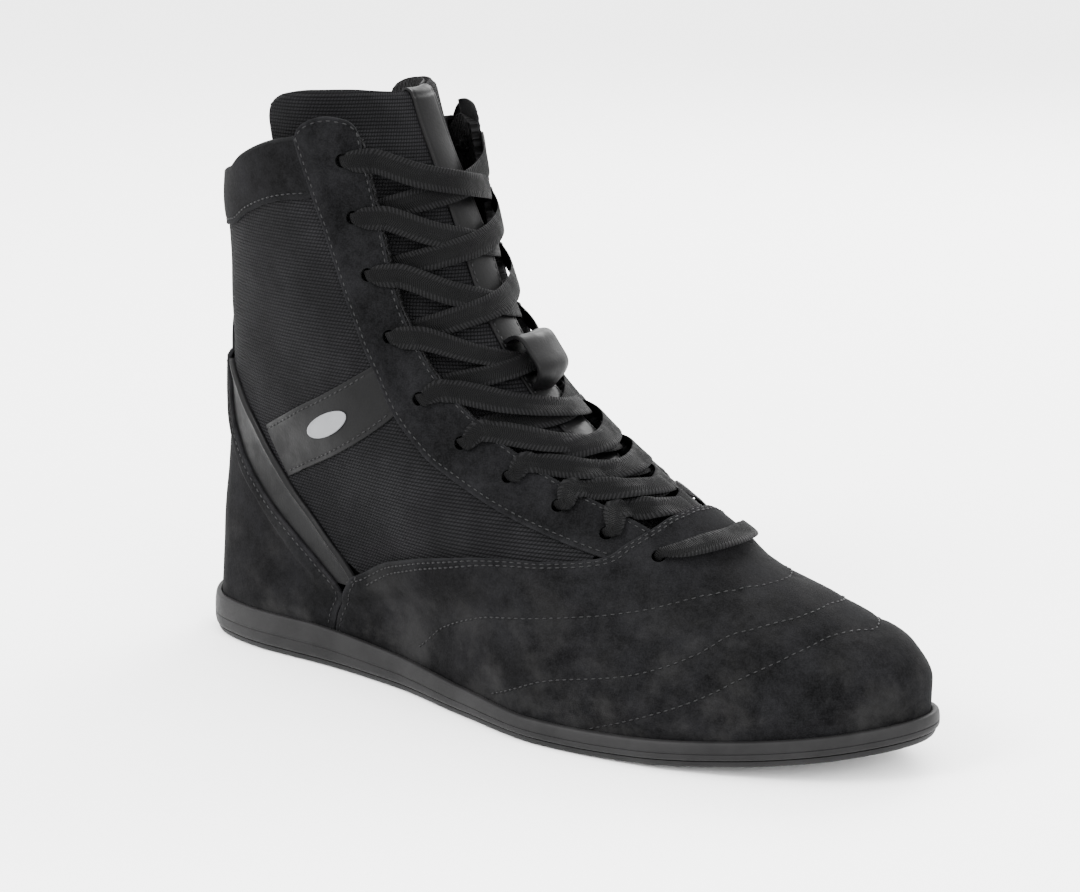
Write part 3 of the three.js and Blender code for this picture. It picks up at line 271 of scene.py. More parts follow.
@dataclass
class Last:
    """The foot shape that every panel is laid on, in mm before it is placed."""

    heel_height: float = 15.0
    ball_height: float = 9.0
    toe_spring: float = 9.0
    toe_swing: float = 12.0
    undulation: float = 0.22
    shift: tuple[float, float, float] = (-0.75, 1.7192, 0.0)
    heights: tuple[float, ...] = (0, 10, 22, 36, 50, 66, 82, 100, 125, 150, 180, 205)
    back: tuple[float, ...] = (
        -147.5, -146, -146, -145.5, -145, -144.5, -143.5, -142, -140.5, -139.5, -139, -139
    )
    front: tuple[float, ...] = (149, 149, 142, 116, 82, 54, 26, 1, -19, -29, -38, -44)
    plan_scale: tuple[float, ...] = (0.965, 1, 0.985, 0.95, 0.91, 0.88, 0.86, 0.85, 0.85, 0.86, 0.88, 0.9)
    shaft_width: tuple[float, ...] = (41, 41, 41, 41, 40, 39, 38, 37.3, 37.8, 39, 40.5, 41.5)
    shaft_share: tuple[float, ...] = (0, 0.03, 0.12, 0.3, 0.55, 0.8, 1, 1, 1, 1, 1, 1)
    plan_lateral: tuple[float, ...] = (0, 17.9, 30.3, 34, 33, 35.3, 44.6, 52.6, 49.9, 41.5, 30.1, 15, 0)
    plan_medial: tuple[float, ...] = (0, 17.9, 30.3, 34, 31.2, 29, 32.9, 39.6, 39, 32.6, 24, 13, 0)

    def __post_init__(self) -> None:
        """Makes the smooth curves from the tables."""
        angles = np.arange(0, 181, 15)
        self._curves = [
            Fair(self.heights, table)
            for table in (self.back, self.front, self.plan_scale, self.shaft_width, self.shaft_share)
        ]
        self._lateral = Fair(angles, self.plan_lateral)
        self._medial = Fair(angles, self.plan_medial)

    def sole_height(self, x: Array) -> Array:
        """Height of the feather line over the ground, without toe spring."""
        return blend(self.heel_height, self.ball_height, ramp(x, -80, 30))

    def lift(self, x: Array) -> Array:
        """Toe spring at x."""
        return self.toe_spring * np.maximum(0, (x - 45) / 98) ** 2

    def point(self, height: Any, turn: Any) -> Array:
        """Points of the last.

        Args:
            height: Heights over the feather line.
            turn: Signed angles, 0 at the heel and 180 at the toe, inner side positive.

        Returns:
            An array of points, its last axis x, y, z.
        """
        height, turn = np.broadcast_arrays(np.asarray(height, float), np.asarray(turn, float))
        t = np.where(turn > 180, turn - 360, np.where(turn < -180, turn + 360, turn))
        a = np.abs(t)
        h = np.maximum(0, height)
        back, front, scale, width, share = (curve(h) for curve in self._curves)
        x = blend(back, front, (1 - np.cos(np.radians(a))) / 2)
        plan = np.where(t < 0, self._lateral(a), self._medial(a)) * scale
        shaft = width * np.sin(np.radians(a))
        y = np.sign(t) * blend(plan, shaft, share) + self.toe_swing * ramp(x, -30, 146) ** 1.3
        z = height + self.sole_height(x) + self.lift(x)
        return np.stack([x, y, z], axis=-1)

    def normal(self, height: Any, turn: Any) -> Array:
        """Outward normals of the last, turned level near the feather line.

        Args:
            height: Heights over the feather line in mm.
            turn: Signed angles in degrees.

        Returns:
            Unit vectors, their last axis x, y, z.
        """
        height, turn = np.broadcast_arrays(np.asarray(height, float), np.asarray(turn, float))
        h = np.maximum(1, height)
        up = self.point(h + 1, turn) - self.point(h - 1, turn)
        around = self.point(h, turn + 1) - self.point(h, turn - 1)
        normal = np.cross(up, around)
        normal[..., 2] *= ease(height, 0, 8)
        return normal / np.linalg.norm(normal, axis=-1, keepdims=True)

    def on(self, height: Any, turn: Any, offset: Any) -> Array:
        """Points at an offset from the last, in metres, placed in the shared frame.

        Args:
            height: Heights over the feather line in mm.
            turn: Signed angles in degrees.
            offset: Distances from the last in mm.

        Returns:
            Points in metres.
        """
        p = self.point(height, turn)
        x, y, z = p[..., 0], p[..., 1], p[..., 2]
        soft = np.sin(x / 9.5 + z / 14 + 0.6) * np.sin(z / 11 - y / 17 + 1.1)
        soft = soft + 0.6 * np.sin(x / 5.6 - z / 7.3 + 2.0) * np.sin(y / 8.0 + z / 9.1)
        bump = self.undulation * soft * ease(z, 14, 30)
        p = p + self.normal(height, turn) * (np.asarray(offset, float) + bump)[..., None]
        return (p + np.asarray(self.shift)) * MM

    def rim_point(self, turn: Array, offset: Any) -> Array:
        """Points level with the bottom edge of the last, moved outwards by an offset, in mm.

        Args:
            turn: Signed angles in degrees.
            offset: Distances outwards in mm.

        Returns:
            Points in mm.
        """
        around = self.point(0, turn + 1) - self.point(0, turn - 1)
        out = np.stack([-around[..., 1], around[..., 0], 0 * around[..., 0]], axis=-1)
        out /= np.linalg.norm(out, axis=-1, keepdims=True)
        return self.point(0, turn) + out * np.asarray(offset, float)[..., None]

    def run(self, height: Array, turn: Array, start: float) -> Array:
        """Distance round the last at a height, from a start angle, in metres.

        Args:
            height: Heights over the feather line.
            turn: Signed angles.
            start: The angle where the distance is nought.

        Returns:
            Distances with the sign of the turn from the start.
        """
        steps = 18
        whole = np.zeros(np.shape(turn))
        before = self.point(height, np.full(np.shape(turn), start))
        for k in range(1, steps + 1):
            here = self.point(height, start + (turn - start) * k / steps)
            whole += np.linalg.norm(here - before, axis=-1)
            before = here
        return whole * np.sign(turn - start) * MM


LAST = Last()
LAYERS = Layers()


# ------------------------------------------------------------------ meshes
def mesh_object(
    name: str, points: Array, faces: Sequence[Sequence[int]], uv: Array | None = None,
    values: dict[str, Array] | None = None, crease: float = 50.0
) -> bpy.types.Object:
    """Makes a smooth-shaded object from points and faces, its faces outwards.

    Args:
        name: Name of the object.
        points: Points in metres.
        faces: Point numbers of each face.
        uv: UV place of each point, in metres.
        values: Numbers for each point, by attribute name.
        crease: Angle in degrees past which an edge is shaded sharp.

    Returns:
        The new object, at the origin.
    """
    points = np.asarray(points, float).reshape(-1, 3)
    corners = np.array([points[[f[0], f[1], f[2]]] for f in faces])
    middle = points.mean(axis=0)
    a, b, c = (corners[:, k] - middle for k in range(3))
    extra = np.array([points[[f[0], f[2], f[-1]]] for f in faces])
    d, e, g = (extra[:, k] - middle for k in range(3))
    volume = np.einsum("ij,ij->", a, np.cross(b, c)) + np.einsum("ij,ij->", d, np.cross(e, g))
    if volume < 0:
        faces = [tuple(reversed(f)) for f in faces]
    mesh = bpy.data.meshes.new(name)
    mesh.from_pydata(points.tolist(), [], [tuple(int(i) for i in f) for f in faces])
    mesh.validate()
    if uv is not None:
        layer = mesh.uv_layers.new(name="UVMap")
        order = np.zeros(len(mesh.loops), int)
        mesh.loops.foreach_get("vertex_index", order)
        layer.data.foreach_set("uv", np.asarray(uv, float).reshape(-1, 2)[order].ravel())
    for key, numbers in (values or {}).items():
        attribute = mesh.attributes.new(key, "FLOAT", "POINT")
        attribute.data.foreach_set("value", np.asarray(numbers, np.float32).ravel())
    mesh.polygons.foreach_set("use_smooth", [True] * len(mesh.polygons))
    mesh.set_sharp_from_angle(angle=math.radians(crease))
    made = bpy.data.objects.new(name, mesh)
    bpy.context.scene.collection.objects.link(made)
    return made


def grid_faces(nu: int, nv: int, start: int = 0, wrap: bool = False) -> list[tuple[int, ...]]:
    """Faces of a grid of nu by nv cells, its points counted row by row.

    Args:
        nu: Cells along a row.
        nv: Rows of cells.
        start: Number of the first point.
        wrap: Whether each row closes on itself.

    Returns:
        The four point numbers of each cell.
    """
    row = nu if wrap else nu + 1
    faces = []
    for j in range(nv):
        for i in range(nu):
            n = (i + 1) % row
            faces.append(
                (
                    start + j * row + i, start + j * row + n, start + (j + 1) * row + n,
                    start + (j + 1) * row + i
                )
            )
    return faces


def shell_faces(nu: int, nv: int) -> list[tuple[int, ...]]:
    """Faces of two grids joined along their rims: the first inner, the second outer.

    Args:
        nu: Cells along a row.
        nv: Rows of cells.

    Returns:
        Point numbers of each face.
    """
    row, half = nu + 1, (nu + 1) * (nv + 1)
    faces = grid_faces(nu, nv, half)
    faces += [tuple(reversed(f)) for f in grid_faces(nu, nv)]
    rim = [i for i in range(row)]
    rim += [j * row + nu for j in range(1, nv + 1)]
    rim += [nv * row + i for i in range(nu - 1, -1, -1)]
    rim += [j * row for j in range(nv - 1, 0, -1)]
    for a, b in zip(rim, rim[1:] + rim[:1]):
        faces.append((a, b, b + half, a + half))
    return faces


def settle(made: bpy.types.Object, body: Body, slot: str | None, *nodes: str) -> bpy.types.Object:
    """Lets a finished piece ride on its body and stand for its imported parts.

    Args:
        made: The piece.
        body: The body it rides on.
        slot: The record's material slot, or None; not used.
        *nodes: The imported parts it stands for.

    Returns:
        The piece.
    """
    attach(made, body.value)
    if nodes:
        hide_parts(*nodes)
    log.info("%s: %d faces", made.name, len(made.data.polygons))
    return made


RIM_STEPS = np.array([0.0, 0.07, 0.2, 0.4, 0.7, 1.1, 1.5, 1.9, 2.3, 2.8, 3.5, 4.4])


def rim_spread(length: Array, cells: int, near: bool, far: bool) -> tuple[Array, Array, Array]:
    """Places across a panel, close together near its finished rims.

    Args:
        length: Width of the panel in mm, one number per row.
        cells: Cells between the rims.
        near: Whether the first edge is a finished rim.
        far: Whether the last edge is a finished rim.

    Returns:
        Shares 0 to 1 with a new last axis, and the distances in mm from either edge.
    """
    length = np.asarray(length, float)[..., None]
    fit = np.minimum(1.0, 0.45 * length / RIM_STEPS[-1])
    first = RIM_STEPS * fit / length if near else np.zeros_like(length)
    last = 1 - RIM_STEPS[::-1] * fit / length if far else np.ones_like(length)
    between = blend(first[..., -1:], last[..., :1], np.arange(1, cells) / cells)
    share = np.concatenate([first, between, last], axis=-1)
    return share, share * length, (1 - share) * length


@dataclass
class Panel:
    """A sheet of material laid on the last, with finished rims.

    The edges are rear (u = 0), front (u = 1), low (v = 0) and high (v = 1).
    """

    name: str
    place: Place
    inner: Callable[..., Array]
    outer: Callable[..., Array]
    cells: tuple[int, int]
    rear: Edge = Edge.HIDDEN
    front: Edge = Edge.HIDDEN
    low: Edge = Edge.HIDDEN
    high: Edge = Edge.HIDDEN
    skirt: float = 0.45
    press: float = 0.25
    stitch_inset: float = 2.0
    uv_start: float = 0.0
    grooves: list[Array] = field(default_factory=list)

    def edges(self) -> tuple[Edge, Edge, Edge, Edge]:
        """The finishes of the rear, front, low and high edge."""
        return self.rear, self.front, self.low, self.high

    def _widths(self, along_u: bool) -> Array:
        """Width of the panel in mm by share along the other direction, at 33 places.

        Args:
            along_u: True for widths measured along u, by share of v.

        Returns:
            The 33 widths in mm.
        """
        s = np.linspace(0, 1, 33)
        across, other = np.meshgrid(s, s)
        u, v = (across, other) if along_u else (other, across)
        p = LAST.point(*self.place(u, v))
        return np.linalg.norm(np.diff(p, axis=1), axis=-1).sum(axis=1)

    def grid(self) -> tuple[Array, Array, list[Array]]:
        """Places of the panel's points.

        Returns:
            u and v of each point, and the distances in mm from the four edges.
        """
        s = np.linspace(0, 1, 33)
        wide, tall = self._widths(True), self._widths(False)
        rims = [edge is not Edge.HIDDEN for edge in self.edges()]
        v0, *_ = rim_spread(tall.mean(), self.cells[1], rims[2], rims[3])
        u0, *_ = rim_spread(wide.mean(), self.cells[0], rims[0], rims[1])
        u, du0, du1 = rim_spread(np.interp(v0, s, wide), self.cells[0], rims[0], rims[1])
        v, dv0, dv1 = rim_spread(np.interp(u0, s, tall), self.cells[1], rims[2], rims[3])
        far = 99.0
        away = [
            du0 if rims[0] else np.full_like(u, far), du1 if rims[1] else np.full_like(u, far),
            dv0.T if rims[2] else np.full_like(u, far), dv1.T if rims[3] else np.full_like(u, far)
        ]
        return u, v.T, away

    def faces_at(self, u: Array, v: Array, away: list[Array]) -> tuple[Array, ...]:
        """Height, turn and the inner and outer offset of each point.

        Args:
            u: Share across the panel.
            v: Share up the panel.
            away: Distances in mm from the four edges, very large at a hidden edge.

        Returns:
            Height, turn, inner offset and outer offset.
        """
        height, turn = self.place(u, v)
        inner = self.inner(u, v, height, turn) + 0 * u
        outer = self.outer(u, v, height, turn) + 0 * u
        near = np.minimum.reduce(away)
        radius = np.minimum(0.45, (outer - inner) * 0.6)
        short = np.clip(radius - near, 0, radius)
        outer = outer - (radius - np.sqrt(np.maximum(0, radius**2 - short**2)))
        outer = outer - self.press * (1 - ease(near, 0.2, 3.2))
        inner = inner - self.skirt * (1 - ease(near, 0.6, 2.4))
        for edge, d in zip(self.edges(), away):
            if edge is Edge.STITCHED:
                outer = outer - 0.2 * np.exp(-(((d - self.stitch_inset) / 0.5) ** 2))
            elif edge is Edge.PIPED:
                outer = outer + 0.75 * np.exp(-(((d - 1.7) / 1.15) ** 2))
        return height, turn, inner, outer

    def groove(self, points: Array, normals: Array) -> Array:
        """Presses the panel in along its decorative stitch lines.

        Args:
            points: Outer points in metres.
            normals: Outward normals.

        Returns:
            The changed points.
        """
        flat = points.reshape(-1, 3)
        depth = np.zeros(len(flat))
        for path in self.grooves:
            d = np.full(len(flat), 1e9)
            for spot in path:
                d = np.minimum(d, np.linalg.norm(flat - spot, axis=1))
            d = d / MM
            depth = np.maximum(depth, 0.42 * np.exp(-((d / 0.8) ** 2)) + 0.22 * np.exp(-((d / 3.4) ** 2)))
        return (flat - normals.reshape(-1, 3) * (depth * MM)[:, None]).reshape(points.shape)

    def build(self) -> bpy.types.Object:
        """Makes the panel's closed mesh, with UVs in metres and its rim_wear attribute.

        Returns:
            The panel's object.
        """
        u, v, away = self.grid()
        height, turn, inner, outer = self.faces_at(u, v, away)
        inside = LAST.on(height, turn, inner)
        outside = LAST.on(height, turn, outer)
        if self.grooves:
            outside = self.groove(outside, LAST.normal(height, turn))
        signed_start = self.uv_start * (np.sign(turn) if 0 < self.uv_start < 180 else 1)
        run = LAST.run(height, turn, 0.0) if self.uv_start == 0 else LAST.run(height, turn, signed_start)
        uv = np.stack([run, outside[..., 2]], axis=-1)
        wear = np.exp(-np.minimum.reduce(away) / 0.9)
        nv, nu = u.shape[0] - 1, u.shape[1] - 1
        return mesh_object(
            self.name, np.concatenate([inside.reshape(-1, 3), outside.reshape(-1, 3)]), shell_faces(nu, nv),
            np.concatenate([uv.reshape(-1, 2)] * 2),
            {"rim_wear": np.concatenate([np.zeros(u.size), wear.ravel()])}
        )

    def rim_path(self, edge: str, inset: float, start: float = 0.0, end: float = 1.0) -> Array:
        """A path along one edge, for a row of stitches.

        Args:
            edge: rear, front, low or high.
            inset: Distance from the edge in mm.
            start: Share of the edge where the row starts.
            end: Share where it ends.

        Returns:
            Rows of height and turn.
        """
        s = np.linspace(start, end, 160)
        along_u = edge in ("rear", "front")
        share = inset / np.interp(s, np.linspace(0, 1, 33), self._widths(along_u))
        if edge in ("front", "high"):
            share = 1 - share
        u, v = (share, s) if along_u else (s, share)
        return np.stack(self.place(u, v), axis=-1)


# ------------------------------------------------------------------ node trees
class Sketch:
    """Draws nodes into a tree, wiring sockets and setting plain values."""

    def __init__(self, tree: bpy.types.NodeTree) -> None:
        """Keeps the tree that is drawn into."""
        self.tree = tree

    def wire(self, socket: bpy.types.NodeSocket, value: Any) -> None:
        """Links a socket to another, or sets its plain value.

        Args:
            socket: The input that is set.
            value: Socket or plain value; None leaves the input as it is.
        """
        if isinstance(value, bpy.types.NodeSocket):
            self.tree.links.new(value, socket)
        elif value is not None:
            socket.default_value = value

    def node(
        self, kind: str, values: dict[str | int, Any] | None = None, **settings: Any
    ) -> bpy.types.Node:
        """Adds a node.

        Args:
            kind: The node's type.
            values: Input values or sockets by input name or number.
            **settings: Properties of the node.

        Returns:
            The new node.
        """
        made = self.tree.nodes.new(kind)
        for key, value in settings.items():
            setattr(made, key, value)
        for key, value in (values or {}).items():
            self.wire(made.inputs[key], value)
        return made

    def sum(self, operation: str, *values: Any, clamp: bool = False) -> bpy.types.NodeSocket:
        """A Math node's result for the named operation.

        Args:
            operation: Name of the operation.
            *values: Sockets or numbers.
            clamp: Whether the result is held from 0 to 1.

        Returns:
            The result's socket.
        """
        made = self.node("ShaderNodeMath", operation=operation, use_clamp=clamp)
        for socket, value in zip(made.inputs, values):
            self.wire(socket, value)
        return made.outputs[0]

    def vector(self, operation: str, *values: Any, out: int = 0) -> bpy.types.NodeSocket:
        """A Vector Math node's result for the named operation.

        Args:
            operation: Name of the operation.
            *values: Sockets or vectors.
            out: Number of the output.

        Returns:
            The result's socket.
        """
        made = self.node("ShaderNodeVectorMath", operation=operation)
        for socket, value in zip(made.inputs, values):
            self.wire(socket, value)
        return made.outputs[out]

    def ramp(self, value: Any, low: float, high: float, out_low: float = 0.0, out_high: float = 1.0) -> Any:
        """Maps low..high to out_low..out_high, softly and held at both ends.

        Args:
            value: Number or socket to map.
            low: Value that gives out_low.
            high: Value that gives out_high.
            out_low: Result at low.
            out_high: Result at high.

        Returns:
            The result's socket.
        """
        made = self.node(
            "ShaderNodeMapRange",
            {"Value": value, "From Min": low, "From Max": high, "To Min": out_low, "To Max": out_high},
            interpolation_type="SMOOTHSTEP"
        )
        return made.outputs[0]

    def mixed(self, share: Any, a: Any, b: Any) -> bpy.types.NodeSocket:
        """Mixes two colours by share.

        Args:
            share: Share of the second colour.
            a: First colour.
            b: Second colour.

        Returns:
            The result's socket.
        """
        made = self.node("ShaderNodeMix", data_type="RGBA")
        for index, value in ((0, share), (6, a), (7, b)):
            self.wire(made.inputs[index], value)
        return made.outputs[2]

    def noise(self, vector: Any, scale: Any, detail: float = 3.0, rough: float = 0.55) -> Any:
        """Fractal noise from 0 to 1.

        Args:
            vector: Coordinates.
            scale: Scale of the noise.
            detail: Levels of detail.
            rough: Strength of each finer level.

        Returns:
            The result's socket.
        """
        made = self.node(
            "ShaderNodeTexNoise", {"Vector": vector, "Scale": scale, "Detail": detail, "Roughness": rough}
        )
        return made.outputs[0]


def new_group(name: str, kind: str, inputs: dict[str, tuple[str, Any]], outputs: dict[str, str]) -> Any:
    """Starts a node group with named sockets.

    Args:
        name: Name of the group.
        kind: Type of the tree.
        inputs: Socket type and default by input name.
        outputs: Socket type by output name.

    Returns:
        The sketch, the input node's outputs and the output node's inputs.
    """
    tree = bpy.data.node_groups.new(name, kind)
    for key, (socket, value) in inputs.items():
        made = tree.interface.new_socket(key, in_out="INPUT", socket_type=socket)
        if value is not None:
            made.default_value = value
    for key, socket in outputs.items():
        tree.interface.new_socket(key, in_out="OUTPUT", socket_type=socket)
    sketch = Sketch(tree)
    enter, leave = sketch.node("NodeGroupInput"), sketch.node("NodeGroupOutput")
    return sketch, enter.outputs, leave.inputs


VECTOR, FLOAT = "NodeSocketVector", "NodeSocketFloat"


class Effects:
    """Shader groups that several finishes share, each made once."""

    _made: dict[str, bpy.types.NodeTree] = {}

    @classmethod
    def get(cls, name: str) -> bpy.types.NodeTree:
        """The shader group of that name, made the first time it is asked for.

        Args:
            name: Name of the group.

        Returns:
            The shader group.
        """
        if name not in cls._made:
            cls._made[name] = getattr(cls, "_" + name)()
        return cls._made[name]

    @staticmethod
    def _grain() -> bpy.types.NodeTree:
        """Fine grain over broad patches of darker and lighter material.

        Returns:
            The shader group.
        """
        s, i, o = new_group(
            "Grain", "ShaderNodeTree",
            {"Vector": (VECTOR, None), "Fine": (FLOAT, 1500.0), "Broad": (FLOAT, 60.0)},
            {"Height": FLOAT, "Patches": FLOAT}
        )
        fine = s.noise(i["Vector"], i["Fine"], 2.0, 0.6)
        middle = s.noise(i["Vector"], s.sum("MULTIPLY", i["Fine"], 0.31), 2.0)
        height = s.sum("ADD", s.sum("MULTIPLY", fine, 0.65), s.sum("MULTIPLY", middle, 0.35))
        s.wire(o["Height"], height)
        broad = s.noise(i["Vector"], i["Broad"], 3.0, 0.5)
        streak = s.noise(i["Vector"], s.sum("MULTIPLY", i["Broad"], 3.3), 2.0)
        both = s.sum("ADD", s.sum("MULTIPLY", broad, 0.7), s.sum("MULTIPLY", streak, 0.3))
        s.wire(o["Patches"], s.ramp(both, 0.36, 0.66))
        return s.tree

    @staticmethod
    def _pebble() -> bpy.types.NodeTree:
        """Small rounded cells of smooth leather or moulded rubber.

        Returns:
            The shader group.
        """
        s, i, o = new_group(
            "Pebble", "ShaderNodeTree", {"Vector": (VECTOR, None), "Cells": (FLOAT, 1100.0)},
            {"Height": FLOAT}
        )
        cells = s.node(
            "ShaderNodeTexVoronoi", {"Vector": i["Vector"], "Scale": i["Cells"]}, feature="SMOOTH_F1"
        )
        soft = s.noise(i["Vector"], s.sum("MULTIPLY", i["Cells"], 0.22), 2.0)
        flat = s.sum("SUBTRACT", 1.0, cells.outputs["Distance"])
        s.wire(o["Height"], s.sum("ADD", s.sum("MULTIPLY", flat, 0.6), s.sum("MULTIPLY", soft, 0.5)))
        return s.tree

    @staticmethod
    def _rim_wear() -> bpy.types.NodeTree:
        """Uneven wear where the piece's rim_wear attribute is high.

        Returns:
            The shader group.
        """
        s, i, o = new_group(
            "Rim wear", "ShaderNodeTree",
            {"Vector": (VECTOR, None), "Rim": (FLOAT, 0.0), "Amount": (FLOAT, 0.5)}, {"Mask": FLOAT}
        )
        broken = s.ramp(s.noise(i["Vector"], 240.0, 3.0), 0.3, 0.7, 0.25, 1.0)
        whole = s.sum("MULTIPLY", s.sum("MULTIPLY", i["Rim"], i["Amount"]), broken, clamp=True)
        s.wire(o["Mask"], whole)
        return s.tree

    @staticmethod
    def _dust() -> bpy.types.NodeTree:
        """Faint dust that thins out with height over the ground.

        Returns:
            The shader group.
        """
        s, i, o = new_group(
            "Dust", "ShaderNodeTree",
            {"Vector": (VECTOR, None), "Reach": (FLOAT, 0.05), "Amount": (FLOAT, 0.3)}, {"Mask": FLOAT}
        )
        height = s.node("ShaderNodeSeparateXYZ", {0: i["Vector"]}).outputs[2]
        share = s.sum("SUBTRACT", 1.0, s.sum("DIVIDE", height, i["Reach"]), clamp=True)
        spots = s.ramp(s.noise(i["Vector"], 45.0, 4.0, 0.65), 0.42, 0.72)
        s.wire(o["Mask"], s.sum("MULTIPLY", s.sum("MULTIPLY", share, spots), i["Amount"]))
        return s.tree

    @staticmethod
    def _ribbed_weave() -> bpy.types.NodeTree:
        """Level ribs, each made of short slanted threads.

        Returns:
            The shader group.
        """
        s, i, o = new_group(
            "Ribbed weave", "ShaderNodeTree",
            {"Vector": (VECTOR, None), "Rib": (FLOAT, 0.0012), "Thread": (FLOAT, 0.0013)}, {"Height": FLOAT}
        )
        parts = s.node("ShaderNodeSeparateXYZ", {0: i["Vector"]}).outputs
        across = s.sum("DIVIDE", parts[1], i["Rib"])
        share = s.sum("FRACT", across)
        rib = s.sum("SINE", s.sum("MULTIPLY", share, math.pi))
        along = s.sum("DIVIDE", parts[0], i["Thread"])
        slanted = s.sum("ADD", along, s.sum("MULTIPLY", s.sum("FLOOR", across), 0.5))
        slanted = s.sum("ADD", slanted, s.sum("MULTIPLY", share, 0.6))
        dash = s.sum("SINE", s.sum("MULTIPLY", s.sum("FRACT", slanted), math.pi))
        worked = s.sum("ADD", 0.3, s.sum("MULTIPLY", s.sum("POWER", dash, 0.6), 0.7))
        s.wire(o["Height"], s.sum("MULTIPLY", s.sum("POWER", rib, 0.6), worked))
        return s.tree

    @staticmethod
    def _knit_pores() -> bpy.types.NodeTree:
        """Diamond pores of a spacer knit.

        Returns:
            The shader group.
        """
        s, i, o = new_group(
            "Knit pores", "ShaderNodeTree",
            {"Vector": (VECTOR, None), "Width": (FLOAT, 0.0021), "Length": (FLOAT, 0.0034)},
            {"Height": FLOAT}
        )
        parts = s.node("ShaderNodeSeparateXYZ", {0: i["Vector"]}).outputs
        across, along = s.sum("DIVIDE", parts[0], i["Width"]), s.sum("DIVIDE", parts[1], i["Length"])
        waves = []
        for way in ("ADD", "SUBTRACT"):
            turn = s.sum("MULTIPLY", s.sum(way, across, along), math.pi)
            waves.append(s.sum("ABSOLUTE", s.sum("SINE", turn)))
        pore = s.sum("MINIMUM", *waves)
        s.wire(o["Height"], s.ramp(pore, 0.12, 0.72, 1.0, 0.0))
        return s.tree

    @staticmethod
    def _woven_tape() -> bpy.types.NodeTree:
        """A flat lace: fine chevrons down the middle and ladder picks along both edges.

        Returns:
            The shader group.
        """
        s, i, o = new_group(
            "Woven tape", "ShaderNodeTree",
            {"Vector": (VECTOR, None), "Pick": (FLOAT, 0.00125), "Half Width": (FLOAT, 0.0038)},
            {"Height": FLOAT, "Picks": FLOAT}
        )
        parts = s.node("ShaderNodeSeparateXYZ", {0: i["Vector"]}).outputs
        side = s.sum("DIVIDE", s.sum("ABSOLUTE", parts[1]), i["Half Width"])
        along = s.sum("DIVIDE", parts[0], i["Pick"])
        chevron = s.sum("ADD", s.sum("MULTIPLY", along, 1.7), s.sum("MULTIPLY", side, 2.2))
        fine = s.sum("ABSOLUTE", s.sum("SINE", s.sum("MULTIPLY", chevron, math.pi)))
        zigzag = s.sum("ADD", along, s.sum("MULTIPLY", side, 1.1))
        pick = s.sum("ABSOLUTE", s.sum("SINE", s.sum("MULTIPLY", zigzag, math.pi)))
        pick = s.ramp(pick, 0.35, 0.85)
        edge = s.ramp(side, 0.5, 0.72)
        s.wire(o["Picks"], s.sum("MULTIPLY", pick, edge))
        low = s.sum("MULTIPLY", fine, s.sum("SUBTRACT", 0.75, s.sum("MULTIPLY", edge, 0.6)))
        s.wire(o["Height"], s.sum("ADD", low, s.sum("MULTIPLY", s.sum("MULTIPLY", pick, edge), 1.0)))
        return s.tree


Colour = tuple[float, float, float]


@dataclass(frozen=True)
class Finish:
    """What all finishes share: the name, two tones and how rough they are."""

    name: str = "finish"
    dark: Colour = (0.01, 0.01, 0.011)
    light: Colour = (0.03, 0.03, 0.032)
    rough: tuple[float, float] = (0.8, 0.95)
    bump: float = 0.0002
    strength: float = 0.6
    sheen: float = 0.0
    specular: float = 0.5
    metallic: float = 0.0

    def start(self) -> tuple[Sketch, Any, bpy.types.Material]:
        """Makes the material with its shader; gives the sketch, the shader and the material.

        Returns:
            The sketch, the shader and the material.
        """
        material = bpy.data.materials.new(self.name)
        material.use_nodes = True
        material.node_tree.nodes.clear()
        s = Sketch(material.node_tree)
        shader = s.node("ShaderNodeBsdfPrincipled")
        shader.inputs["Metallic"].default_value = self.metallic
        shader.inputs["Specular IOR Level"].default_value = self.specular
        shader.inputs["Sheen Weight"].default_value = self.sheen
        shader.inputs["Sheen Roughness"].default_value = 0.45
        s.node("ShaderNodeOutputMaterial", {"Surface": shader.outputs[0]})
        return s, shader, material

    def place(self, s: Sketch) -> bpy.types.NodeSocket:
        """Object coordinates."""
        return s.node("ShaderNodeTexCoord").outputs["Object"]

    def cloth_place(self, s: Sketch) -> bpy.types.NodeSocket:
        """The piece's own UV map, in metres."""
        return s.node("ShaderNodeUVMap", uv_map="UVMap").outputs[0]

    def effect(self, s: Sketch, name: str, **values: Any) -> Any:
        """Places a shared effect and gives its outputs.

        Args:
            s: The material's sketch.
            name: Name of the group.
            **values: Input values by name.

        Returns:
            The group's outputs.
        """
        made = s.node("ShaderNodeGroup", node_tree=Effects.get(name))
        for key, value in values.items():
            s.wire(made.inputs[key.replace("_", " ")], value)
        return made.outputs

    def shade(self, s: Sketch, shader: Any, tone: Any, height: Any, gloss: Any) -> None:
        """Feeds the shader.

        Args:
            s: The sketch.
            shader: The Principled shader.
            tone: The colour.
            height: The height of the relief, 0 to 1.
            gloss: A mask that runs from the low to the high roughness.
        """
        s.wire(shader.inputs["Base Color"], tone)
        s.wire(shader.inputs["Roughness"], s.ramp(gloss, 0.0, 1.0, *self.rough))
        relief = s.node(
            "ShaderNodeBump", {"Height": height, "Distance": self.bump, "Strength": self.strength}
        )
        s.wire(shader.inputs["Normal"], relief.outputs[0])


def rgba(colour: Colour, times: float = 1.0) -> tuple[float, float, float, float]:
    """The colour with full alpha, made lighter or darker."""
    return (colour[0] * times, colour[1] * times, colour[2] * times, 1.0)


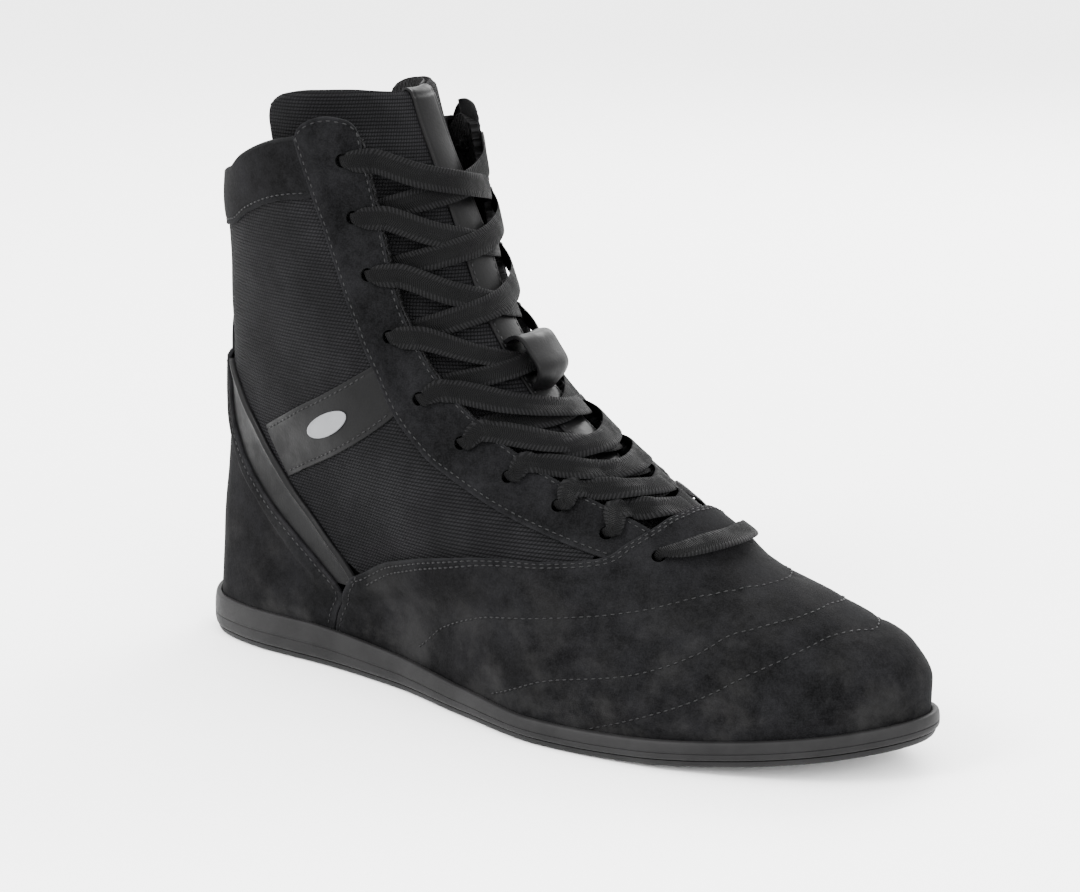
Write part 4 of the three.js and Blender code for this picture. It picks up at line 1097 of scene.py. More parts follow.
@dataclass(frozen=True)
class Nubuck(Finish):
    """Brushed suede side of split leather: a short nap, mottled, paler where it is rubbed."""

    wear: float = 0.5
    dust: float = 0.35

    def material(self) -> bpy.types.Material:
        """The finished material.

        Returns:
            The material.
        """
        s, shader, made = self.start()
        where = self.place(s)
        grain = self.effect(s, "grain", Vector=where, Fine=1700.0, Broad=52.0)
        rim = s.node("ShaderNodeAttribute", attribute_name="rim_wear").outputs["Fac"]
        worn = self.effect(s, "rim_wear", Vector=where, Rim=rim, Amount=self.wear)["Mask"]
        dust = self.effect(s, "dust", Vector=where, Reach=0.07, Amount=self.dust)["Mask"]
        nap = s.ramp(grain["Height"], 0.3, 0.7)
        share = s.sum("ADD", s.sum("MULTIPLY", grain["Patches"], 0.55), s.sum("MULTIPLY", nap, 0.45))
        tone = s.mixed(share, rgba(self.dark), rgba(self.light))
        tone = s.mixed(worn, tone, rgba(self.light, 2.1))
        tone = s.mixed(dust, tone, (0.028, 0.0275, 0.027, 1.0))
        self.shade(s, shader, tone, grain["Height"], grain["Patches"])
        return made


@dataclass(frozen=True)
class SmoothLeather(Finish):
    """Smooth coated leather with a fine pebble and paler rims."""

    wear: float = 0.45

    def material(self) -> bpy.types.Material:
        """The finished material.

        Returns:
            The material.
        """
        s, shader, made = self.start()
        where = self.place(s)
        grain = self.effect(s, "grain", Vector=where, Fine=900.0, Broad=70.0)
        pebble = self.effect(s, "pebble", Vector=where, Cells=1250.0)["Height"]
        rim = s.node("ShaderNodeAttribute", attribute_name="rim_wear").outputs["Fac"]
        worn = self.effect(s, "rim_wear", Vector=where, Rim=rim, Amount=self.wear)["Mask"]
        tone = s.mixed(grain["Patches"], rgba(self.dark), rgba(self.light))
        tone = s.mixed(worn, tone, rgba(self.light, 1.7))
        self.shade(s, shader, tone, pebble, grain["Patches"])
        return made


@dataclass(frozen=True)
class Rubber(Finish):
    """Moulded rubber, finely matt, with dusty scuffs near the ground."""

    scuff: float = 0.5

    def material(self) -> bpy.types.Material:
        """The finished material.

        Returns:
            The material.
        """
        s, shader, made = self.start()
        where = self.place(s)
        grain = self.effect(s, "grain", Vector=where, Fine=1300.0, Broad=34.0)
        pebble = self.effect(s, "pebble", Vector=where, Cells=1700.0)["Height"]
        dust = self.effect(s, "dust", Vector=where, Reach=0.03, Amount=self.scuff)["Mask"]
        tone = s.mixed(grain["Patches"], rgba(self.dark), rgba(self.light))
        tone = s.mixed(dust, tone, rgba(self.light, 1.6))
        height = s.sum("ADD", s.sum("MULTIPLY", pebble, 0.5), s.sum("MULTIPLY", grain["Height"], 0.5))
        self.shade(s, shader, tone, height, grain["Height"])
        return made


@dataclass(frozen=True)
class RibbedCloth(Finish):
    """Heavy woven mesh cloth with level ribs."""

    rib: float = 0.0012
    thread: float = 0.0014

    def material(self) -> bpy.types.Material:
        """The finished material.

        Returns:
            The material.
        """
        s, shader, made = self.start()
        cloth = self.cloth_place(s)
        where = self.place(s)
        weave = self.effect(s, "ribbed_weave", Vector=cloth, Rib=self.rib, Thread=self.thread)["Height"]
        grain = self.effect(s, "grain", Vector=where, Fine=2600.0, Broad=48.0)
        share = s.sum("MULTIPLY", weave, s.sum("ADD", 0.6, s.sum("MULTIPLY", grain["Patches"], 0.4)))
        tone = s.mixed(share, rgba(self.dark), rgba(self.light))
        height = s.sum("ADD", weave, s.sum("MULTIPLY", grain["Height"], 0.25))
        self.shade(s, shader, tone, height, grain["Height"])
        return made


@dataclass(frozen=True)
class SpacerKnit(Finish):
    """Open spacer knit of the lining, with diamond pores."""

    pore: tuple[float, float] = (0.0021, 0.0034)

    def material(self) -> bpy.types.Material:
        """The finished material.

        Returns:
            The material.
        """
        s, shader, made = self.start()
        cloth = self.cloth_place(s)
        where = self.place(s)
        knit = self.effect(s, "knit_pores", Vector=cloth, Width=self.pore[0], Length=self.pore[1])["Height"]
        grain = self.effect(s, "grain", Vector=where, Fine=2400.0, Broad=60.0)
        tone = s.mixed(s.sum("MULTIPLY", knit, 0.9), rgba(self.dark), rgba(self.light))
        height = s.sum("ADD", knit, s.sum("MULTIPLY", grain["Height"], 0.3))
        self.shade(s, shader, tone, height, grain["Patches"])
        return made


@dataclass(frozen=True)
class WovenTape(Finish):
    """Flat woven lace with ladder picks along its edges."""

    half_width: float = 0.0038

    def material(self) -> bpy.types.Material:
        """The finished material.

        Returns:
            The material.
        """
        s, shader, made = self.start()
        cloth = self.cloth_place(s)
        tape = self.effect(s, "woven_tape", Vector=cloth, Half_Width=self.half_width)
        grain = self.effect(s, "grain", Vector=self.place(s), Fine=2200.0, Broad=65.0)
        share = s.sum("ADD", s.sum("MULTIPLY", tape["Picks"], 0.6), s.sum("MULTIPLY", tape["Height"], 0.2))
        share = s.sum("ADD", share, s.sum("MULTIPLY", grain["Patches"], 0.2), clamp=True)
        tone = s.mixed(share, rgba(self.dark), rgba(self.light))
        height = s.sum("ADD", tape["Height"], s.sum("MULTIPLY", grain["Height"], 0.25))
        self.shade(s, shader, tone, height, grain["Patches"])
        return made


@dataclass(frozen=True)
class Plain(Finish):
    """A material known by its grain alone: thread, board, plastic or silver print."""

    fine: float = 1500.0
    broad: float = 70.0

    def material(self) -> bpy.types.Material:
        """The finished material.

        Returns:
            The material.
        """
        s, shader, made = self.start()
        grain = self.effect(s, "grain", Vector=self.place(s), Fine=self.fine, Broad=self.broad)
        share = s.sum(
            "ADD", s.sum("MULTIPLY", grain["Patches"], 0.5), s.sum("MULTIPLY", grain["Height"], 0.5)
        )
        tone = s.mixed(share, rgba(self.dark), rgba(self.light))
        self.shade(s, shader, tone, grain["Height"], grain["Patches"])
        return made


class Wardrobe:
    """The boot's finishes, each material made once."""

    finishes: tuple[Finish, ...] = (
        Nubuck(
            "nubuck", (0.0003, 0.0003, 0.00036), (0.0062, 0.0062, 0.0067), (0.82, 0.96), 0.00028, 0.8,
            0.006, 0.03
        ),
        SmoothLeather(
            "strap_leather", (0.0009, 0.0009, 0.001), (0.0021, 0.00206, 0.0022), (0.4, 0.58), 0.00012, 0.5,
            0.0, 0.07
        ),
        Rubber(
            "sole_rubber", (0.00527, 0.00515, 0.00527), (0.0087, 0.00852, 0.0087), (0.48, 0.68), 0.00012,
            0.5, 0.0, 0.09
        ),
        RibbedCloth(
            "ribbed_mesh", (0.00024, 0.00024, 0.0003), (0.0088, 0.0087, 0.0094), (0.78, 0.94), 0.0004, 1.0,
            0.0, 0.04
        ),
        SpacerKnit(
            "lining_knit", (0.00042, 0.00042, 0.00049), (0.0063, 0.00623, 0.00665), (0.6, 0.85), 0.0006,
            1.0, 0.0, 0.07
        ),
        WovenTape(
            "lace_tape", (0.00036, 0.00036, 0.00042), (0.0042, 0.00413, 0.00443), (0.62, 0.84), 0.00035,
            1.0, 0.0, 0.06
        ),
        Plain(
            "thread", (0.0021, 0.0021, 0.0024), (0.00715, 0.00709, 0.00747), (0.5, 0.75), 0.0001, 0.6, 0.0,
            0.15, fine=2600.0
        ),
        Plain("insole_board", (0.2, 0.18, 0.15), (0.32, 0.3, 0.26), (0.8, 0.95), 0.00015),
        Plain("stiffener_sheet", (0.38, 0.36, 0.31), (0.5, 0.48, 0.43), (0.6, 0.8), 0.0001),
        Plain(
            "aglet_plastic", (0.004, 0.004, 0.005), (0.01, 0.01, 0.011), (0.22, 0.38), 0.00004, 0.6, 0.0,
            0.4
        ),
        Plain(
            "silver_print", (0.084, 0.0864, 0.0912), (0.132, 0.135, 0.141), (0.38, 0.55), 0.00005, 0.4,
            metallic=0.35
        )
    )

    def __init__(self) -> None:
        """Makes every material."""
        self.made = {finish.name: finish.material() for finish in self.finishes}

    def dress(self, piece: bpy.types.Object, name: str) -> bpy.types.Object:
        """Gives a piece one finish all over.

        Args:
            piece: The piece.
            name: Name of the finish.

        Returns:
            The same piece.
        """
        piece.data.materials.clear()
        piece.data.materials.append(self.made[name])
        return piece


# ------------------------------------------------------------------ geometry nodes
GEOMETRY, OBJECT, MATERIAL = "NodeSocketGeometry", "NodeSocketObject", "NodeSocketMaterial"


def apply_tree(
    made: bpy.types.Object, tree: bpy.types.NodeTree, values: dict[str, Any], crease: float = 50.0
) -> bpy.types.Object:
    """Runs a geometry node tree on a piece and keeps the result as its plain mesh.

    Args:
        made: The piece.
        tree: The geometry node tree.
        values: Input values by name.
        crease: Angle in degrees past which an edge is shaded sharp.

    Returns:
        The piece.
    """
    modifier = made.modifiers.new(tree.name, "NODES")
    modifier.node_group = tree
    for item in tree.interface.items_tree:
        if item.item_type == "SOCKET" and item.in_out == "INPUT" and item.name in values:
            modifier[item.identifier] = values[item.name]
    bpy.context.view_layer.update()
    deps = bpy.context.evaluated_depsgraph_get()
    mesh = bpy.data.meshes.new_from_object(
        made.evaluated_get(deps), preserve_all_data_layers=True, depsgraph=deps
    )
    made.modifiers.clear()
    if not mesh.polygons:
        raise RuntimeError(f"{made.name} came out of {tree.name} with no faces")
    old, made.data = made.data, mesh
    bpy.data.meshes.remove(old)
    mesh.polygons.foreach_set("use_smooth", [True] * len(mesh.polygons))
    mesh.set_sharp_from_angle(angle=math.radians(crease))
    return made


class Trees:
    """Geometry node trees for what repeats or follows a path."""

    _made: dict[str, bpy.types.NodeTree] = {}

    @classmethod
    def get(cls, name: str) -> bpy.types.NodeTree:
        """The tree of that name, made the first time it is asked for.

        Args:
            name: Name of the tree.

        Returns:
            The node tree.
        """
        if name not in cls._made:
            cls._made[name] = getattr(cls, "_" + name)()
        return cls._made[name]

    @staticmethod
    def _end(s: Sketch, geometry: Any, enter: Any, leave: Any) -> bpy.types.NodeTree:
        """Ends a tree in Realize Instances and Set Material.

        Args:
            s: The tree's sketch.
            geometry: Socket of the finished geometry.
            enter: The tree's inputs.
            leave: The tree's outputs.

        Returns:
            The node tree.
        """
        real = s.node("GeometryNodeRealizeInstances", {0: geometry})
        dressed = s.node(
            "GeometryNodeSetMaterial", {"Geometry": real.outputs[0], "Material": enter["Material"]}
        )
        s.wire(leave["Geometry"], dressed.outputs[0])
        return s.tree

    @classmethod
    def _stitch_rows(cls) -> bpy.types.NodeTree:
        """Short raised stitches along each path, turned to the surface under it.

        Returns:
            The node tree.
        """
        s, i, o = new_group(
            "Stitch rows", "GeometryNodeTree",
            {
                "Geometry": (GEOMETRY, None), "Pitch": (FLOAT, 0.0026), "Stitch Length": (FLOAT, 0.0018),
                "Thread Thickness": (FLOAT, 0.00055), "Material": (MATERIAL, None)
            },
            {"Geometry": GEOMETRY}
        )
        curve = s.node("GeometryNodeMeshToCurve", {0: i["Geometry"]})
        rows = s.node(
            "GeometryNodeResampleCurve", {"Curve": curve.outputs[0], "Length": i["Pitch"]}, mode="LENGTH"
        )
        tangent = s.node("GeometryNodeInputTangent")
        out = s.node("GeometryNodeInputNamedAttribute", {"Name": "face_out"}, data_type="FLOAT_VECTOR")
        first = s.node("FunctionNodeAlignRotationToVector", {"Vector": tangent.outputs[0]}, axis="X")
        turn = s.node(
            "FunctionNodeAlignRotationToVector", {"Rotation": first.outputs[0], "Vector": out.outputs[0]},
            axis="Z", pivot_axis="X"
        )
        bead = s.node("GeometryNodeMeshUVSphere", {"Segments": 6, "Rings": 4, "Radius": 0.5})
        size = s.node(
            "ShaderNodeCombineXYZ",
            {"X": i["Stitch Length"], "Y": i["Thread Thickness"], "Z": i["Thread Thickness"]}
        )
        placed = s.node(
            "GeometryNodeInstanceOnPoints",
            {
                "Points": rows.outputs[0], "Instance": bead.outputs["Mesh"], "Rotation": turn.outputs[0],
                "Scale": size.outputs[0]
            }
        )
        return cls._end(s, placed.outputs[0], i, o)

    @classmethod
    def _punched_holes(cls) -> bpy.types.NodeTree:
        """Round holes cut through a panel at each point of another object.

        Returns:
            The node tree.
        """
        s, i, o = new_group(
            "Punched holes", "GeometryNodeTree",
            {
                "Geometry": (GEOMETRY, None), "Holes": (OBJECT, None), "Hole Diameter": (FLOAT, 0.0048),
                "Depth": (FLOAT, 0.014), "Material": (MATERIAL, None)
            },
            {"Geometry": GEOMETRY}
        )
        places = s.node("GeometryNodeObjectInfo", {"Object": i["Holes"]}, transform_space="ORIGINAL")
        out = s.node("GeometryNodeInputNamedAttribute", {"Name": "face_out"}, data_type="FLOAT_VECTOR")
        turn = s.node("FunctionNodeAlignRotationToVector", {"Vector": out.outputs[0]}, axis="Z")
        pin = s.node(
            "GeometryNodeMeshCylinder",
            {"Vertices": 20, "Radius": s.sum("MULTIPLY", i["Hole Diameter"], 0.5), "Depth": i["Depth"]}
        )
        pins = s.node(
            "GeometryNodeInstanceOnPoints",
            {
                "Points": places.outputs["Geometry"], "Instance": pin.outputs["Mesh"],
                "Rotation": turn.outputs[0]
            }
        )
        cut = s.node("GeometryNodeMeshBoolean", operation="DIFFERENCE", solver="EXACT")
        real = s.node("GeometryNodeRealizeInstances", {0: pins.outputs[0]})
        s.wire(cut.inputs["Mesh 1"], i["Geometry"])
        s.wire(cut.inputs["Mesh 2"], real.outputs[0])
        return cls._end(s, cut.outputs["Mesh"], i, o)

    @classmethod
    def _tread_grooves(cls) -> bpy.types.NodeTree:
        """Square grooves along paths, cut up into the underside of the tread.

        Returns:
            The node tree.
        """
        s, i, o = new_group(
            "Tread grooves", "GeometryNodeTree",
            {
                "Geometry": (GEOMETRY, None), "Paths": (OBJECT, None), "Groove Width": (FLOAT, 0.0022),
                "Groove Depth": (FLOAT, 0.0011), "Material": (MATERIAL, None)
            },
            {"Geometry": GEOMETRY}
        )
        paths = s.node("GeometryNodeObjectInfo", {"Object": i["Paths"]}, transform_space="ORIGINAL")
        curve = s.node("GeometryNodeMeshToCurve", {0: paths.outputs["Geometry"]})
        upright = s.node("GeometryNodeSetCurveNormal", {"Curve": curve.outputs[0]}, mode="Z_UP")
        profile = s.node(
            "GeometryNodeCurvePrimitiveQuadrilateral",
            {"Width": i["Groove Width"], "Height": s.sum("MULTIPLY", i["Groove Depth"], 2.0)}
        )
        bars = s.node(
            "GeometryNodeCurveToMesh",
            {"Curve": upright.outputs[0], "Profile Curve": profile.outputs[0], "Fill Caps": True}
        )
        cut = s.node("GeometryNodeMeshBoolean", operation="DIFFERENCE", solver="EXACT")
        s.wire(cut.inputs["Mesh 1"], i["Geometry"])
        s.wire(cut.inputs["Mesh 2"], bars.outputs[0])
        cut.inputs["Self Intersection"].default_value = True
        return cls._end(s, cut.outputs["Mesh"], i, o)

    @classmethod
    def _flat_tape(cls) -> bpy.types.NodeTree:
        """A flat woven tape along a path whose points say how wide and thick it is.

        Returns:
            The node tree.
        """
        s, i, o = new_group(
            "Flat tape", "GeometryNodeTree",
            {"Geometry": (GEOMETRY, None), "Sides": ("NodeSocketInt", 14), "Material": (MATERIAL, None)},
            {"Geometry": GEOMETRY}
        )
        curve = s.node("GeometryNodeMeshToCurve", {0: i["Geometry"]})
        circle = s.node("GeometryNodeCurvePrimitiveCircle", {"Resolution": i["Sides"], "Radius": 1.0})
        kept = s.node("GeometryNodeStoreNamedAttribute", {"Name": "section"}, data_type="FLOAT_VECTOR")
        s.wire(kept.inputs["Geometry"], circle.outputs[0])
        s.wire(kept.inputs["Value"], s.node("GeometryNodeInputPosition").outputs[0])
        tube = s.node(
            "GeometryNodeCurveToMesh", {"Curve": curve.outputs[0], "Profile Curve": kept.outputs[0]}
        )
        tube.inputs["Fill Caps"].default_value = True

        def read(name: str, kind: str) -> Any:
            """The named attribute of the tape."""
            return s.node("GeometryNodeInputNamedAttribute", {"Name": name}, data_type=kind).outputs[0]

        section = s.node("ShaderNodeSeparateXYZ", {0: read("section", "FLOAT_VECTOR")}).outputs
        wide = s.sum("MULTIPLY", section[0], read("half_width", "FLOAT"))
        square = s.sum(
            "MULTIPLY", s.sum("SIGN", section[1]), s.sum("POWER", s.sum("ABSOLUTE", section[1]), 0.55)
        )
        thick = s.sum("MULTIPLY", square, read("half_thickness", "FLOAT"))
        across = s.vector("SCALE", read("across", "FLOAT_VECTOR"))
        s.wire(across.node.inputs["Scale"], wide)
        through = s.vector("SCALE", read("through", "FLOAT_VECTOR"))
        s.wire(through.node.inputs["Scale"], thick)
        place = s.vector("ADD", read("spine", "FLOAT_VECTOR"), s.vector("ADD", across, through))
        moved = s.node("GeometryNodeSetPosition", {"Geometry": tube.outputs[0], "Position": place})
        flat = s.node("ShaderNodeCombineXYZ", {"X": read("run", "FLOAT"), "Y": wide})
        mapped = s.node(
            "GeometryNodeStoreNamedAttribute", {"Name": "UVMap"}, data_type="FLOAT2", domain="CORNER"
        )
        s.wire(mapped.inputs["Geometry"], moved.outputs[0])
        s.wire(mapped.inputs["Value"], flat.outputs[0])
        return cls._end(s, mapped.outputs[0], i, o)


def path_object(name: str, paths: Sequence[Array], values: dict[str, Sequence[Array]]) -> bpy.types.Object:
    """A mesh of bare edges along paths, with values at its points.

    Args:
        name: Name of the object.
        paths: Points of each path in metres.
        values: For each attribute, the numbers or vectors along each path.

    Returns:
        The object.
    """
    mesh = bpy.data.meshes.new(name)
    edges, start = [], 0
    for path in paths:
        edges += [(start + k, start + k + 1) for k in range(len(path) - 1)]
        start += len(path)
    mesh.from_pydata(np.concatenate(paths).tolist(), edges, [])
    for key, lists in values.items():
        whole = np.concatenate(lists).astype(np.float32)
        kind = ("FLOAT", "value") if whole.ndim == 1 else ("FLOAT_VECTOR", "vector")
        attribute = mesh.attributes.new(key, kind[0], "POINT")
        attribute.data.foreach_set(kind[1], whole.ravel())
    made = bpy.data.objects.new(name, mesh)
    bpy.context.scene.collection.objects.link(made)
    return made


# ------------------------------------------------------------------ seams
class Seams:
    """Seam lines of the upper as [height, angle], heel 0 to toe 180."""

    cup_depth = 3.5
    lap = 6.0
    collar_band = 21.0
    tongue_top = 196.5
    tongue_corner = 188.5
    throat = (
        (179, 130.5), (151, 131), (120, 130), (107, 130.5), (94, 133), (84, 136.5), (75, 143), (69, 149.5),
        (63.5, 156), (57, 161)
    )
    stay_rear = (
        (176, 102), (150, 107), (122, 110), (100, 110.5), (86, 109), (75, 110), (69, 114), (62, 121),
        (57, 129), (53, 136), (50, 143)
    )
    stay_top = ((176, 102), (180.5, 106), (183.5, 112), (184.5, 118), (184, 125), (182, 129), (179, 130.5))
    vamp_top = (
        (23, 67), (35, 80), (44, 98), (48, 113), (50, 129), (52, 138), (56, 147), (59, 156), (62, 168),
        (63, 180)
    )
    vamp_rear = ((-3.5, 61), (7, 62), (16, 64.5), (23, 67))
    heel_edge = (
        (-3.5, 60.75), (7, 61.75), (13, 63.2), (17, 63.6), (22, 61), (33, 55), (50, 46), (60, 40),
        (72, 34.5), (90, 27), (105, 17), (113, 6)
    )
    strap_front = ((19.5, 68.3), (23, 67.3), (38, 63), (53, 58), (68, 51), (78, 43), (88, 30))
    strap_rear = ((18.5, 58.5), (23, 55.5), (38, 48), (53, 39), (68, 31), (78, 26), (88, 19))
    collar_top = ((156, 0), (162, 52), (168, 67), (174, 87), (176.5, 102), (178, 110))
    strap_band = ((53, 59.5), (89, 113), (103, 113), (70, 55.5))
    tongue_edge = (
        (56, 166), (64, 150), (76, 128), (92, 112), (112, 98), (142, 86), (165, 78), (178, 76.5), (185, 80)
    )
    lining_seam = ((10, 106), (28, 121), (46, 142), (54, 154))
    eyelets = (
        (170, 121), (151, 120.5), (132, 121), (112, 121), (93, 120.5), (81, 124), (73, 130.5), (66.5, 138),
        (59.5, 144.5), (52, 151)
    )
    throat_places = (
        (172, 131), (153, 131), (134, 131), (114, 130.5), (98, 132.5), (87, 136), (79, 142), (73, 149.5),
        (67.5, 157), (62, 166)
    )
    toe_lines = (
        ((7, 80), (18, 86), (29, 99), (35, 117), (39, 133), (43, 152), (44, 169), (44, 180)),
        ((3, 96), (14, 106), (20, 120), (27, 133), (33, 146), (35, 158), (37, 180)),
        ((0.5, 113), (7, 121), (14, 130), (22, 141), (27, 153), (30, 167), (29, 180))
    )

    vamp_height = height_by(vamp_top)
    vamp_side = angle_by(vamp_rear)
    heel_side = angle_by(heel_edge)
    collar_height = height_by(collar_top)
    throat_side = angle_by(tuple(reversed(throat)))

    @classmethod
    def toe_line(cls, index: int) -> Array:
        """One decorative line right across the toe: rows of height and turn.

        Args:
            index: Number of the line.

        Returns:
            Rows of height and turn.
        """
        height, angle = seam_line(cls.toe_lines[index])(np.linspace(0, 1, 150))
        there = np.stack([height, -angle], axis=-1)
        back = np.stack([height, angle], axis=-1)[::-1]
        return np.concatenate([there, back[1:]])


def held(value: float) -> Callable[..., Array]:
    """A face at one offset all over."""
    return lambda u, v, height, turn: value + 0 * height


def raised(face: Callable[..., Array], by: float) -> Callable[..., Array]:
    """A face lying further out by a thickness."""
    return lambda u, v, height, turn: face(u, v, height, turn) + by


class Workbench:
    """What the sub-assemblies share: finishes, stitch paths and hole places."""

    ray_start = 12.0
    ray_reach = 0.02
    farthest = 0.017
    thread_lift = 0.00004
    shortest_row = 6

    def __init__(self) -> None:
        """Makes the finishes and the hole places."""
        self.finishes = Wardrobe()
        self.rows: dict[Body, list[tuple[Array, Array]]] = {Body.BOOT: [], Body.TONGUE: []}
        self.holes = {side: self._holes([side]) for side in Side}
        self.all_holes = self._holes(list(Side))

    def _holes(self, sides: list[Side]) -> bpy.types.Object:
        """Points and outward directions of the eyelets on some sides.

        Args:
            sides: The sides wanted.

        Returns:
            A hidden helper with one point for each eyelet.
        """
        places = np.array([(h, side.value * a) for side in sides for h, a in Seams.eyelets], float)
        made = path_object(
            "eyelet_places_" + "_".join(side.word for side in sides),
            [LAST.on(places[:, 0], places[:, 1], 0.0)],
            {"face_out": [LAST.normal(places[:, 0], places[:, 1])]}
        )
        made.hide_render = True
        return made

    def punch(self, piece: bpy.types.Object, holes: bpy.types.Object, finish: str) -> bpy.types.Object:
        """Cuts the eyelets through a piece.

        Args:
            piece: The piece.
            holes: The helper with one point for each eyelet.
            finish: Name of the piece's finish.

        Returns:
            The piece.
        """
        values = {
            "Holes": holes, "Hole Diameter": 4.8 * MM, "Depth": 14 * MM,
            "Material": self.finishes.made[finish]
        }
        return apply_tree(piece, Trees.get("punched_holes"), values)

    def sew(self, piece: bpy.types.Object, paths: Sequence[Array], body: Body = Body.BOOT) -> None:
        """Marks rows of stitches on a piece's outer face.

        Args:
            piece: The piece that is sewn.
            paths: Rows of height and turn.
            body: The body the stitches ride on.
        """
        mesh = piece.data
        tree = BVHTree.FromPolygons(
            [v.co for v in mesh.vertices], [tuple(p.vertices) for p in mesh.polygons]
        )
        for path in paths:
            outside = LAST.on(path[:, 0], path[:, 1], self.ray_start)
            normals = LAST.normal(path[:, 0], path[:, 1])
            row, outs = [], []
            for start, normal in zip(outside, normals):
                spot, _, _, gone = tree.ray_cast(Vector(start), Vector(-normal), self.ray_reach)
                if spot is None or gone > self.farthest:
                    if len(row) > self.shortest_row:
                        self.rows[body].append((np.array(row), np.array(outs)))
                    row, outs = [], []
                    continue
                row.append(np.array(spot) + normal * self.thread_lift)
                outs.append(np.array(normal))
            if len(row) > self.shortest_row:
                self.rows[body].append((np.array(row), np.array(outs)))

    def stitch(self) -> None:
        """Turns the marked rows into stitches, one piece for each body."""
        for body, rows in self.rows.items():
            if not rows:
                continue
            made = path_object(
                f"stitches_{body.value}", [row for row, _ in rows], {"face_out": [outs for _, outs in rows]}
            )
            values = {
                "Pitch": 2.7 * MM, "Stitch Length": 2.0 * MM, "Thread Thickness": 0.62 * MM,
                "Material": self.finishes.made["thread"]
            }
            apply_tree(made, Trees.get("stitch_rows"), values, crease=80.0)
            settle(made, body, None)


